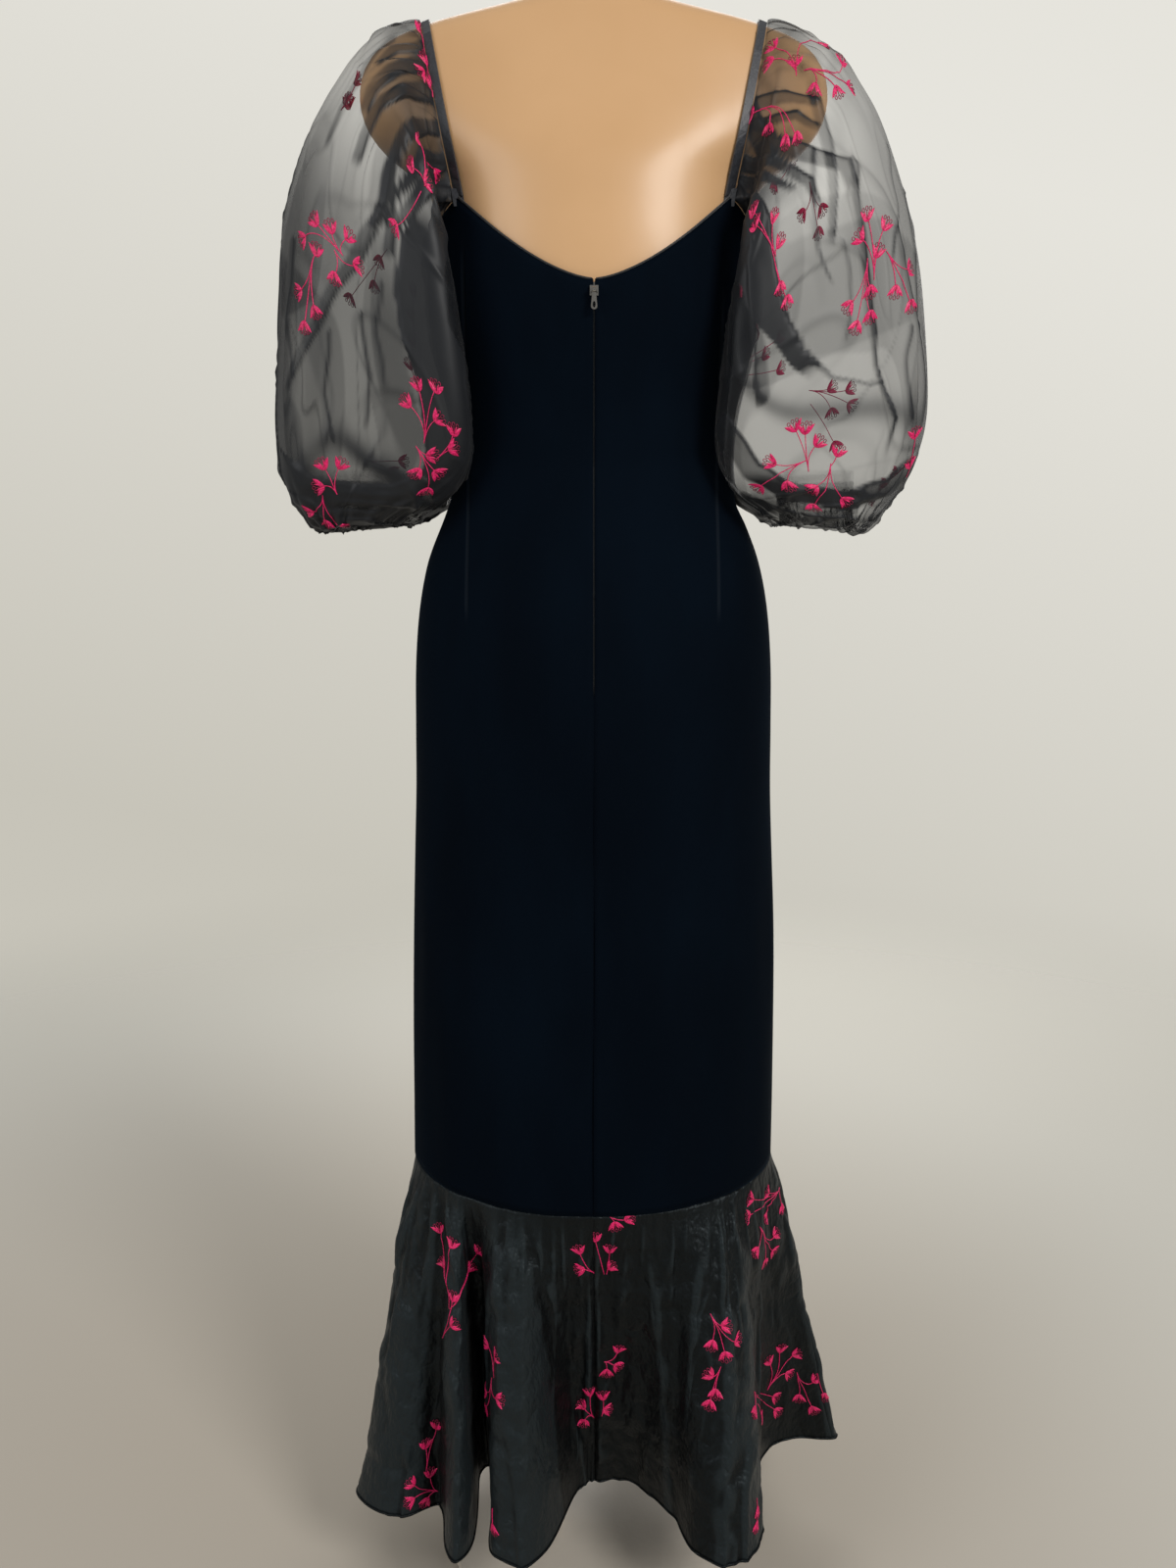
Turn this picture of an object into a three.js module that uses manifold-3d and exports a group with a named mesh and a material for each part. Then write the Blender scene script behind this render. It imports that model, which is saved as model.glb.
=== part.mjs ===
// A black velvet mermaid dress with sheer organza puff sleeves, a back zip and a fluted flounce,
// worn by a limbless display torso that stands on a pole and a round plate.
// Millimetres, +Z up. The back of the dress, with its zip, faces -Y and its left sleeve is at -X.
// The origin is the centre of the plate's underside.
import * as THREE from "three";
import { mergeVertices } from "three/addons/utils/BufferGeometryUtils.js";
import Module from "manifold-3d";

const wasm = await Module();
wasm.setup();

// Driving dimensions of the cloth
const seamGap = 0.3;
const velvetThick = 2.0;
const taffetaThick = 1.2;
const flounceTop = 1.6; // the flounce starts this far outside the velvet's inner face
const organzaThick = 1.0;
const edgeClear = 1.1; // a sleeve's edge stands this far off what it is sewn to
const ease = 3.0; // air between the torso and the inside of the velvet
const outside = ease + velvetThick;
const sleeveClear = 5.2; // least distance from a sleeve's cloth to the inside of the velvet
const shoulderClear = 6; // and to the torso's shoulder

// Neckline and armholes
const neckHalf = 146; // half width of the bodice at the neckline's height
const cornerX = 114; // where a strap meets the bodice, from the centre line
const cornerZ = 1309;
const backNeckZ = 1236;
const frontNeckZ = 1262;
const neckCurve = 1.6; // the power that rounds the neckline
const underarmZ = 1262;
const strapTopX = 143;
const strapTopZ = 1460;
const strapWide = 7;
const strapThick = 1.8;
const strapEndGap = 2.3; // the strap's middle line ends this far above the bodice's corner

// Hem seam, zip and flounce
const seamSideZ = 428.6;
const seamTilt = 20; // the seam is this much lower at the back, and higher at the front
const hemZ = 99;
const zipBottomZ = 893;
const zipGapHalf = 1.6;
const zipTapeHalf = 8;
const zipCloses = 12; // the back edges come together over this much below the zip

// Cuff of a sleeve
const cuffBand = { height: 9, thick: 2.4, z: 1079.4 };

// The stand
const plate = { radius: 150, thick: 8 };
const hub = { radius: 26, height: 10 };
const pole = { x: -58, radius: 11 };
const flange = { radius: 34, thick: 7 };
const torsoBaseZ = 726;

// Half widths and depths of the torso at heights, from the neck down. back is towards -Y, front towards +Y.
const torsoRows = [
  { z: 1530, half: 50, back: 50, front: 48 },
  { z: 1502, half: 52, back: 51, front: 50 },
  { z: 1487, half: 58, back: 52, front: 54 },
  { z: 1478, half: 70, back: 54, front: 56 },
  { z: 1471, half: 87, back: 55, front: 58 },
  { z: 1465, half: 118, back: 57, front: 59 },
  { z: 1457, half: 155, back: 59, front: 61 },
  { z: 1447, half: 181, back: 61, front: 63 },
  { z: 1430, half: 198, back: 65, front: 68 },
  { z: 1405, half: 204, back: 71, front: 76 },
  { z: 1380, half: 198, back: 78, front: 85 },
  { z: 1360, half: 182, back: 84, front: 93 },
  { z: 1345, half: 162, back: 89, front: 99 },
  { z: 1328, half: 145, back: 93, front: 105 },
  { z: 1300, half: 141, back: 96, front: 113 },
  { z: 1270, half: 142, back: 98, front: 121 },
  { z: 1240, half: 143, back: 98, front: 126 },
  { z: 1205, half: 140, back: 95, front: 124 },
  { z: 1170, half: 131, back: 89, front: 113 },
  { z: 1135, half: 123, back: 83, front: 102 },
  { z: 1095, half: 120, back: 80, front: 96 },
  { z: 1065, half: 125, back: 84, front: 97 },
  { z: 1035, half: 137, back: 92, front: 99 },
  { z: 1005, half: 148, back: 102, front: 101 },
  { z: 965, half: 156, back: 113, front: 103 },
  { z: 915, half: 160.5, back: 119, front: 103 },
  { z: 855, half: 162, back: 119, front: 101 },
  { z: 800, half: 160, back: 112, front: 98 },
  { z: 760, half: 155, back: 104, front: 93 },
  { z: 738, half: 145, back: 94, front: 84 },
  { z: torsoBaseZ, half: 118, back: 72, front: 64 },
];
const fittedDownTo = 855;

// Inside of the velvet where the skirt hangs free below the hips
const hangingRows = [
  { z: 800, half: 166, back: 119, front: 104 },
  { z: 740, half: 168.5, back: 112, front: 103 },
  { z: 660, half: 171.5, back: 107, front: 102 },
  { z: 560, half: 174.5, back: 104, front: 100 },
  { z: 470, half: 175.8, back: 103, front: 99 },
  { z: 380, half: 176, back: 103, front: 98 },
];

// Bust fullness of the front, on the torso and the dress alike
const bust = { reach: 10, z: 1228, tall: 62, apexX: 66, fade: 36 };

// A sleeve's sections from the armhole to the cuff. Each is a loop from an outer point to an inner point,
// seen from the back, with depths to -Y and +Y. folds is the depth of its large folds, gathers of its small
// ones, and rightMore how much further out the right sleeve billows.
const sleeveRows = [
  { outX: 150, outZ: 1463, inX: 152, inZ: 1268, near: 62, far: 70, folds: 0, gathers: 0, rightMore: 0 },
  { outX: 166, outZ: 1467, inX: 160, inZ: 1272, near: 84, far: 88, folds: 1, gathers: 2.6, rightMore: 0 },
  { outX: 188, outZ: 1457, inX: 156, inZ: 1262, near: 96, far: 98, folds: 3, gathers: 2.6, rightMore: 0 },
  { outX: 211, outZ: 1433, inX: 146, inZ: 1238, near: 102, far: 103, folds: 5, gathers: 1.2, rightMore: 3 },
  { outX: 233, outZ: 1396, inX: 134, inZ: 1206, near: 105, far: 105, folds: 6, gathers: 0, rightMore: 5 },
  { outX: 253, outZ: 1350, inX: 126, inZ: 1172, near: 106, far: 104, folds: 6, gathers: 0, rightMore: 4 },
  { outX: 267, outZ: 1296, inX: 120, inZ: 1144, near: 104, far: 102, folds: 6, gathers: 0, rightMore: 8 },
  { outX: 271, outZ: 1236, inX: 117, inZ: 1118, near: 101, far: 99, folds: 6, gathers: 0, rightMore: 17 },
  { outX: 274, outZ: 1176, inX: 118, inZ: 1098, near: 96, far: 94, folds: 5, gathers: 0.8, rightMore: 22 },
  { outX: 277, outZ: 1122, inX: 124, inZ: 1079, near: 89, far: 87, folds: 4, gathers: 1.6, rightMore: 19 },
  { outX: 273, outZ: 1080, inX: 136, inZ: 1062, near: 78, far: 76, folds: 3, gathers: 2.4, rightMore: 10 },
  { outX: 262, outZ: 1052, inX: 154, inZ: 1050, near: 63, far: 62, folds: 1, gathers: 2.6, rightMore: 2 },
  { outX: 249, outZ: 1037, inX: 167, inZ: 1043, near: 50, far: 50, folds: 0, gathers: 2.4, rightMore: 0 },
  { outX: 240, outZ: 1041, inX: 173, inZ: 1049, near: 42, far: 42, folds: 0, gathers: 2.0, rightMore: 0 },
  { outX: 237, outZ: 1062, inX: 171, inZ: 1063, near: 37, far: 37, folds: 0, gathers: 1.2, rightMore: 0 },
  { outX: 237, outZ: 1079, inX: 169, inZ: 1079, near: 35, far: 35, folds: 0, gathers: 0, rightMore: 0 },
];
const sleeveGathers = 14;
const sleeveSquareness = 2.7; // the power that makes a section fuller than an ellipse
const sleeveLap = { back: 36, front: 12 }; // how far a sleeve's inner corners billow over the bodice
const clearFrom = 0.09; // share of the sleeve's length over which it comes clear of the bodice
const seamBlend = 0.2; // share of the sleeve's length over which it leaves the shape of the armhole
const sides = [
  { name: "left", sign: -1 },
  { name: "right", sign: 1 },
];

// The flounce's hem, round the dress from the centre back. Each row is a point of a flute or of the hollow
// between two: the degrees at which it hangs from the seam, and where it reaches at the hem.
const hemPoints = [
  { at: 0, x: 2, y: -61 },
  { at: 12, x: 38, y: -63 },
  { at: 24, x: 77, y: -108 },
  { at: 33, x: 90, y: -149 },
  { at: 42, x: 122, y: -167 },
  { at: 50, x: 154, y: -150 },
  { at: 58, x: 165, y: -88 },
  { at: 68, x: 172, y: -18 },
  { at: 80, x: 214, y: 1 },
  { at: 92, x: 251, y: 2 },
  { at: 100, x: 244, y: 30 },
  { at: 112, x: 194, y: 62 },
  { at: 130, x: 160, y: 160 },
  { at: 146, x: 112, y: 92 },
  { at: 168, x: 48, y: 168 },
  { at: 186, x: -10, y: 88 },
  { at: 208, x: -88, y: 164 },
  { at: 226, x: -134, y: 88 },
  { at: 246, x: -214, y: 112 },
  { at: 264, x: -190, y: 12 },
  { at: 277, x: -218, y: -36 },
  { at: 284, x: -233, y: -74 },
  { at: 290, x: -210, y: -99 },
  { at: 297, x: -176, y: -107 },
  { at: 305, x: -147, y: -97 },
  { at: 309, x: -138, y: -150 },
  { at: 312, x: -127, y: -168 },
  { at: 314.5, x: -116, y: -142 },
  { at: 317.5, x: -117, y: -56 },
  { at: 321, x: -103, y: -52 },
  { at: 325, x: -99, y: -110 },
  { at: 329, x: -91, y: -156 },
  { at: 334, x: -66, y: -168 },
  { at: 339, x: -41, y: -146 },
  { at: 345, x: -21, y: -88 },
  { at: 352, x: -10, y: -66 },
];
const hemColumnDegrees = 3.4; // widest spacing of the flounce's columns
const seamPuckers = { count: 24, depth: 1.1, share: 0.3 };

const velvet = new THREE.MeshStandardMaterial({ color: 0x05080c, roughness: 0.95 });
const taffeta = new THREE.MeshStandardMaterial({ color: 0x17191c, roughness: 0.45 });
const organza = new THREE.MeshStandardMaterial({
  color: 0x3a3a3d,
  roughness: 0.5,
  transparent: true,
  opacity: 0.45,
});
const satinBand = new THREE.MeshStandardMaterial({ color: 0x10141c, roughness: 0.4 });
const zipCloth = new THREE.MeshStandardMaterial({ color: 0x101114, roughness: 0.6 });
const metal = new THREE.MeshStandardMaterial({ color: 0x9c9994, roughness: 0.25, metalness: 1 });
const torsoPlastic = new THREE.MeshStandardMaterial({ color: 0xd6a87c, roughness: 0.25 });
const platePaint = new THREE.MeshStandardMaterial({ color: 0xaca498, roughness: 0.45 });

const quarter = Math.PI / 2;
const turn = Math.PI * 2;
const radians = THREE.MathUtils.degToRad;
const lerp = THREE.MathUtils.lerp;
const smooth = (x) => THREE.MathUtils.smoothstep(x, 0, 1);

// Cubic interpolation through rows, by one of their columns. With a period the rows repeat.
function smoothTable(rows, by, period = 0) {
  const sorted = [...rows].sort((a, b) => a[by] - b[by]);
  const last = sorted.length - 1;
  const before = { ...sorted[last], [by]: sorted[last][by] - period };
  const after = { ...sorted[0], [by]: sorted[0][by] + period };
  const keyed = period ? [before, ...sorted, after] : sorted;
  const end = keyed.length - 1;
  const slope = (i, column) => {
    if (period && i === 0) return slope(end - 1, column);
    if (period && i === end) return slope(1, column);
    const low = Math.max(i - 1, 0);
    const high = Math.min(i + 1, end);
    return (keyed[high][column] - keyed[low][column]) / (keyed[high][by] - keyed[low][by]);
  };
  return (value, column) => {
    const first = period ? sorted[0][by] : keyed[0][by];
    const at = period ? ((((value - first) % period) + period) % period) + first : value;
    let i = 0;
    while (i < end - 1 && keyed[i + 1][by] <= at) i += 1;
    const [from, to] = [keyed[i], keyed[i + 1]];
    const span = to[by] - from[by];
    const t = THREE.MathUtils.clamp((at - from[by]) / span, 0, 1);
    const [t2, t3] = [t * t, t * t * t];
    return (
      (2 * t3 - 3 * t2 + 1) * from[column] +
      (t3 - 2 * t2 + t) * span * slope(i, column) +
      (3 * t2 - 2 * t3) * to[column] +
      (t3 - t2) * span * slope(i + 1, column)
    );
  };
}

const torsoAt = smoothTable(torsoRows, "z");
const fittedRows = torsoRows
  .filter((row) => row.z >= fittedDownTo && row.z <= 1345)
  .map((row) => ({ z: row.z, half: row.half + ease, back: row.back + ease, front: row.front + ease }));
const dressAt = smoothTable([...fittedRows, ...hangingRows], "z");

// How far the bust carries the front forward at a place on it
function bustReach(x, z) {
  const beyond = Math.max(Math.abs(x) - bust.apexX, 0);
  return bust.reach * Math.exp(-((beyond / bust.fade) ** 2) - ((z - bust.z) / bust.tall) ** 2);
}

// A point of a body's skin. angle is 0 at the centre back and grows towards +X.
function skin(bodyAt, z, angle, offset) {
  const x = (bodyAt(z, "half") + offset) * Math.sin(angle);
  const toBack = Math.cos(angle) > 0;
  const depth = bodyAt(z, toBack ? "back" : "front") + offset;
  const y = -depth * Math.cos(angle) + (toBack ? 0 : bustReach(x, z) * Math.min(1, -4 * Math.cos(angle)));
  return new THREE.Vector3(x, y, z);
}

// How far out a point lies, as a share of the body's own section there: under 1 it is inside.
function shareOut(bodyAt, point, offset) {
  const depth = bodyAt(point.z, point.y < 0 ? "back" : "front") + offset;
  const y = point.y > 0 ? Math.max(point.y - bustReach(point.x, point.z), 0) : point.y;
  return Math.hypot(point.x / (bodyAt(point.z, "half") + offset), y / depth);
}

// Solids from surfaces
function spread(count, from = 0, to = 1) {
  return Array.from({ length: count + 1 }, (_, i) => lerp(from, to, i / count));
}

function normalAt(surface, u, v) {
  const step = 1e-3;
  const along = surface(u + step, v).sub(surface(u - step, v));
  const down = surface(u, v + step).sub(surface(u, v - step));
  return down.cross(along).normalize();
}

// A closed wall on a surface: outer points at the given places, inner points one thickness behind them.
function wall(surface, us, vs, thickness, wraps = false, flip = 1) {
  const grid = (depth) =>
    vs.map((v) => us.map((u) => surface(u, v).addScaledVector(normalAt(surface, u, v), depth * flip)));
  const layers = [grid(0), grid(-thickness)];
  const across = us.length;
  const down = vs.length;
  const positions = layers.flat(2).flatMap((p) => [p.x, p.y, p.z]);
  const index = (layer, i, j) => layer * across * down + j * across + (i % across);
  const faces = [];
  const quad = (a, b, c, d) => faces.push(...(flip > 0 ? [a, d, c, a, c, b] : [a, b, c, a, c, d]));
  const lastColumn = wraps ? across : across - 1;
  const end = down - 1;
  for (let j = 0; j < down - 1; j += 1)
    for (let i = 0; i < lastColumn; i += 1) {
      quad(index(0, i, j), index(0, i + 1, j), index(0, i + 1, j + 1), index(0, i, j + 1));
      quad(index(1, i + 1, j), index(1, i, j), index(1, i, j + 1), index(1, i + 1, j + 1));
    }
  for (let i = 0; i < lastColumn; i += 1) {
    quad(index(1, i, 0), index(1, i + 1, 0), index(0, i + 1, 0), index(0, i, 0));
    quad(index(0, i, end), index(0, i + 1, end), index(1, i + 1, end), index(1, i, end));
  }
  if (!wraps)
    for (let j = 0; j < down - 1; j += 1) {
      quad(index(1, 0, j), index(0, 0, j), index(0, 0, j + 1), index(1, 0, j + 1));
      const e = across - 1;
      quad(index(0, e, j), index(1, e, j), index(1, e, j + 1), index(0, e, j + 1));
    }
  return indexed(positions, faces);
}

function indexed(positions, faces) {
  const geometry = new THREE.BufferGeometry();
  geometry.setAttribute("position", new THREE.Float32BufferAttribute(positions, 3));
  geometry.setIndex(faces);
  geometry.computeVertexNormals();
  return geometry;
}

function solidOf(geometry, matrix = new THREE.Matrix4()) {
  const bare = geometry.clone().applyMatrix4(matrix);
  bare.deleteAttribute("normal");
  bare.deleteAttribute("uv");
  const merged = mergeVertices(bare, 1e-4);
  return new wasm.Manifold(
    new wasm.Mesh({
      numProp: 3,
      vertProperties: new Float32Array(merged.attributes.position.array),
      triVerts: new Uint32Array(merged.index.array),
    }),
  );
}

function geometryOf(solid) {
  const made = solid.getMesh();
  return indexed([...made.vertProperties], [...made.triVerts]);
}

function named(name, geometry, material) {
  const mesh = new THREE.Mesh(geometry, material);
  mesh.name = name;
  return mesh;
}

// Velvet panels
const cornerAngle = Math.asin(cornerX / neckHalf);
const edgeAngle = seamGap / 2 / 100; // half a seam's gap as an angle, where the dress is 100 mm deep

function topEdgeZ(angle) {
  const fromCentre = Math.asin(Math.min(Math.abs(Math.sin(angle)), 1));
  const lowest = Math.cos(angle) > 0 ? backNeckZ : frontNeckZ;
  if (fromCentre < cornerAngle) {
    const share = (Math.sin(fromCentre) * neckHalf) / cornerX;
    return lerp(lowest, cornerZ, share ** neckCurve);
  }
  return lerp(cornerZ, underarmZ, ((fromCentre - cornerAngle) / (quarter - cornerAngle)) ** 1.2);
}

const seamZ = (angle) => seamSideZ - seamTilt * Math.cos(angle);

// Half the width of the centre back opening: the zip shows down to its bottom stop, then the edges meet.
const backEdgeX = (z) => {
  const open = smooth((z - zipBottomZ + zipCloses) / zipCloses);
  return lerp(seamGap / 2, zipGapHalf, open);
};

function backPanel(sign) {
  const sideEdge = quarter - edgeAngle;
  const surface = (u, v) => {
    const z = lerp(topEdgeZ(u * quarter), seamZ(u * quarter) + seamGap / 2, v);
    const centreEdge = Math.asin(backEdgeX(z) / dressAt(z, "half"));
    return skin(dressAt, z, sign * lerp(centreEdge, sideEdge, u), velvetThick);
  };
  const corner = cornerAngle / quarter;
  const us = [...spread(5, 0, corner), ...spread(4, corner, 1).slice(1)];
  const downTo = (z) => (backNeckZ - z) / (backNeckZ - seamZ(0) - seamGap / 2);
  const stops = [...spread(11, 0, downTo(zipBottomZ)), ...spread(10, downTo(zipBottomZ - zipCloses), 1)];
  return wall(surface, us, stops, velvetThick, false, sign);
}

function frontPanel() {
  const surface = (u, v) => {
    const angle = lerp(quarter + edgeAngle, 3 * quarter - edgeAngle, u);
    const z = lerp(topEdgeZ(angle), seamZ(angle) + seamGap / 2, v);
    return skin(dressAt, z, angle, velvetThick);
  };
  const corner = (quarter - cornerAngle) / Math.PI;
  const sideColumns = spread(4, 0, corner);
  const middleColumns = spread(11, corner, 1 - corner).slice(1, -1);
  const us = [...sideColumns, ...middleColumns, ...sideColumns.map((u) => 1 - u).reverse()];
  const stops = [...spread(14, 0, 0.44), ...spread(8, 0.44, 1).slice(1)];
  return wall(surface, us, stops, velvetThick);
}

// Shoulder straps. A strap lies on the torso in a leaning plane, found by rays from inside the shoulder.
const strapLean = (strapTopX - cornerX) / (strapTopZ - cornerZ);
const strapCentreZ = 1352;
const strapX = (z) => cornerX + (z - cornerZ) * strapLean;

function strapPoint(turned, offset, aside) {
  const at = (reach) => {
    const z = strapCentreZ + reach * Math.sin(turned);
    return new THREE.Vector3(strapX(z) + aside, -reach * Math.cos(turned), z);
  };
  let [low, high] = [10, 140];
  for (let i = 0; i < 40; i += 1) {
    const middle = (low + high) / 2;
    if (shareOut(torsoAt, at(middle), 0) < 1) low = middle;
    else high = middle;
  }
  return at(low + offset);
}

// The ray angle at which the strap meets the bodice's corner, at the back or the front
function strapEnd(front) {
  const corner = skin(dressAt, cornerZ, front ? Math.PI - cornerAngle : cornerAngle, 0);
  return Math.atan2(cornerZ + strapEndGap - strapCentreZ, Math.abs(corner.y));
}

const strapFrom = strapEnd(false);
const strapTo = Math.PI - strapEnd(true);

// Along a strap the band rises from the torso to the height of the velvet at both ends.
function strapLine(v, aside) {
  const nearEnd = Math.min(v, 1 - v);
  const offset = lerp(ease + 0.7, 1.8, smooth(nearEnd / 0.22));
  return strapPoint(lerp(strapFrom, strapTo, v), offset + strapThick, aside);
}

function strapSurface(sign) {
  return (u, v) => {
    const point = strapLine(v, (u - 0.5) * strapWide);
    return point.setX(point.x * sign);
  };
}

function strap(sign) {
  return wall(strapSurface(sign), [0, 1], spread(30), strapThick, false, -sign);
}

// Sleeves
const armholeTurn = { strapShare: 0.02, angle: 0.05, above: 1.4, offset: 1.0 };

// The armhole's loop, from the shoulder's top round by the back. It runs beside the strap and then just
// above the velvet's edge.
function armholeCurve() {
  const points = [];
  const beside = strapWide / 2 + 0.9;
  const middle = 0.5;
  const strapSteps = 16;
  for (let i = 0; i <= strapSteps; i += 1) {
    points.push(strapLine(lerp(middle, armholeTurn.strapShare, i / strapSteps), beside));
  }
  const edgeSteps = 12;
  const start = cornerAngle + armholeTurn.angle;
  for (let i = 0; i <= edgeSteps; i += 1) {
    const angle = lerp(start, Math.PI - start, i / edgeSteps);
    points.push(skin(dressAt, topEdgeZ(angle) + armholeTurn.above, angle, armholeTurn.offset));
  }
  for (let i = 0; i < strapSteps; i += 1) {
    points.push(strapLine(lerp(1 - armholeTurn.strapShare, middle, i / strapSteps), beside));
  }
  return new THREE.CatmullRomCurve3(points, true, "centripetal");
}

const armhole = armholeCurve();
const armholeSamples = armhole.getSpacedPoints(240);
const sleeveTable = smoothTable(
  sleeveRows.map((row, i) => ({ ...row, place: i / (sleeveRows.length - 1) })),
  "place",
);

function armholePoint(u) {
  const place = (((u % 1) + 1) % 1) * 240;
  const i = Math.floor(place);
  return armholeSamples[i].clone().lerp(armholeSamples[i + 1], place - i);
}

// A section's own loop: a full oval between its outer and inner points
function sleeveLoop(u, v, sign) {
  const row = (column) => sleeveTable(v, column);
  const more = sign > 0 ? row("rightMore") : 0;
  const power = 2 / sleeveSquareness;
  const [c, s] = [Math.cos(u * turn), Math.sin(u * turn)];
  const along = Math.sign(c) * Math.abs(c) ** power;
  const aside = Math.sign(s) * Math.abs(s) ** power;
  const large = Math.sin(7 * turn * u + 1.3) * 0.6 + Math.sin(4 * turn * u + 0.4) * 0.5;
  const ripple = row("folds") * large + row("gathers") * Math.sin(sleeveGathers * turn * u);
  const fromInner = Math.min(Math.abs(0.5 - u) / 0.36, 1);
  const alongSleeve = smooth((v - 0.02) / 0.18) * smooth((0.8 - v) / 0.25);
  const lapShare = Math.sin(Math.PI * fromInner) ** 1.5 * alongSleeve;
  const lap = (s > 0 ? sleeveLap.back : sleeveLap.front) * lapShare;
  const [halfX, halfZ] = [(row("outX") + more - row("inX")) / 2, (row("outZ") - row("inZ")) / 2];
  const half = Math.hypot(halfX, halfZ);
  const grown = 1 + ripple / half;
  return new THREE.Vector3(
    row("inX") + halfX + halfX * along * grown - lap,
    -(s > 0 ? row("near") : row("far")) * aside * grown,
    row("inZ") + halfZ + halfZ * along * grown,
  );
}

// A point pushed sideways out of the bodice and the torso's shoulder, where it would be inside them
function clearOfBody(point, v) {
  const start = smooth(v / clearFrom);
  const low = point.z < 1322;
  const share = low
    ? shareOut(dressAt, point, lerp(edgeClear, sleeveClear, start))
    : shareOut(torsoAt, point, lerp(edgeClear, shoulderClear, start));
  if (share < 1) {
    point.x /= share;
    point.y /= share;
  }
  return point;
}

function sleeveSurface(sign) {
  return (u, v) => {
    const share = smooth(Math.max(v, 0) / seamBlend);
    const point = armholePoint(u).lerp(sleeveLoop(u, Math.max(v, 0), sign), share);
    clearOfBody(point, v);
    point.x *= sign;
    return point;
  };
}

const sleeveStops = [0, 0.03, 0.075, 0.13, 0.2, 0.3, 0.4, 0.5, 0.6, 0.68, 0.74, 0.8, 0.86, 0.93, 1];
const sleeveColumns = 44;

function sleeve(sign) {
  const us = spread(sleeveColumns).slice(0, -1);
  return wall(sleeveSurface(sign), us, sleeveStops, organzaThick, true, -sign);
}

// The elastic band that the sleeve is gathered on, standing on the end of the sleeve
function cuff(sign) {
  const end = sleeveSurface(sign);
  const surface = (u, v) => end(u, 1).setZ(cuffBand.z + v * cuffBand.height);
  const us = spread(28).slice(0, -1);
  return wall(surface, us, [0, 0.5, 1], cuffBand.thick, true, sign);
}

// Flounce
const hemTable = smoothTable(hemPoints, "at", 360);

function flounceSurface(angle, v) {
  const seam = skin(dressAt, seamZ(angle) - seamGap / 2, angle, flounceTop);
  const degrees = THREE.MathUtils.radToDeg(angle);
  const hem = new THREE.Vector3(hemTable(degrees, "x"), hemTable(degrees, "y"), hemZ);
  const point = seam.lerp(hem, v);
  const fade = smooth(v / 0.06) * (1 - smooth(v / seamPuckers.share));
  const pucker = seamPuckers.depth * Math.sin(seamPuckers.count * angle) * fade;
  return point.add(new THREE.Vector3(Math.sin(angle), -Math.cos(angle), 0).multiplyScalar(pucker));
}

// A panel's columns lie on the hem's own points, with others spread between them.
function flouncePanel(fromDegrees, toDegrees) {
  const edge = THREE.MathUtils.radToDeg(edgeAngle);
  const [from, to] = [fromDegrees + edge, toDegrees - edge];
  const keys = [from, ...hemPoints.map((p) => p.at).filter((at) => at > from + 1 && at < to - 1), to];
  const columns = keys.slice(1).flatMap((key, i) => {
    const count = Math.max(2, Math.ceil((key - keys[i]) / hemColumnDegrees));
    return spread(count, keys[i], key).slice(0, -1);
  });
  const surface = (degrees, v) => flounceSurface(radians(degrees), v);
  return wall(surface, [...columns, to], [0, 0.08, 0.2, 0.36, 0.52, 0.68, 0.84, 1], taffetaThick);
}

// Zip
// A strip that follows the centre back: a profile across it, swept down at a depth outside the torso
function centreStrip(profile, fromZ, toZ, steps) {
  const positions = [];
  const faces = [];
  const heights = spread(steps, fromZ, toZ);
  heights.forEach((z) => {
    const skinY = -torsoAt(z, "back");
    profile.forEach((p) => positions.push(p.x, skinY - p.out, z));
  });
  const n = profile.length;
  for (let j = 0; j < steps; j += 1)
    for (let i = 0; i < n; i += 1) {
      const [a, b] = [j * n + i, j * n + ((i + 1) % n)];
      faces.push(a, b, b + n, a, b + n, a + n);
    }
  const caps = THREE.ShapeUtils.triangulateShape(
    profile.map((p) => new THREE.Vector2(p.x, p.out)),
    [],
  );
  caps.forEach(([a, b, c]) => {
    faces.push(c, b, a);
    faces.push(steps * n + a, steps * n + b, steps * n + c);
  });
  const geometry = indexed(positions, faces);
  return solidOf(geometry).volume() > 0 ? geometry : indexed(positions, [...faces].reverse());
}

const tapeOut = { inner: 0.8, outer: 1.8, teeth: 4.0, teethHalf: 1.1 };
const tapeProfile = [
  { x: -zipTapeHalf, out: tapeOut.inner },
  { x: zipTapeHalf, out: tapeOut.inner },
  { x: zipTapeHalf, out: tapeOut.outer },
  { x: tapeOut.teethHalf, out: tapeOut.outer },
  { x: tapeOut.teethHalf, out: tapeOut.teeth },
  { x: -tapeOut.teethHalf, out: tapeOut.teeth },
  { x: -tapeOut.teethHalf, out: tapeOut.outer },
  { x: -zipTapeHalf, out: tapeOut.outer },
];
const hookProfile = [
  { x: -4.5, out: tapeOut.inner },
  { x: 4.5, out: tapeOut.inner },
  { x: 4.5, out: tapeOut.outer },
  { x: -4.5, out: tapeOut.outer },
];

const slider = {
  z: 1226.5,
  wide: 7,
  tall: 8,
  thick: 2.4,
  off: 0.5, // from the velvet
  lug: 1.1,
  lugGap: 3.8,
  lugTall: 3.4,
  neckWide: 2,
  neckTall: 6,
};
const pin = { radius: 0.7, out: 3.1 };
const sliderY = -torsoAt(slider.z, "back") - outside - slider.off; // the slider's face towards the velvet
const teethY = -torsoAt(slider.z, "back") - tapeOut.teeth - seamGap;
const pinY = sliderY - slider.thick - pin.out;

function box(wide, deep, tall, x, y, z) {
  return solidOf(new THREE.BoxGeometry(wide, deep, tall), new THREE.Matrix4().makeTranslation(x, y, z));
}

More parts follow.
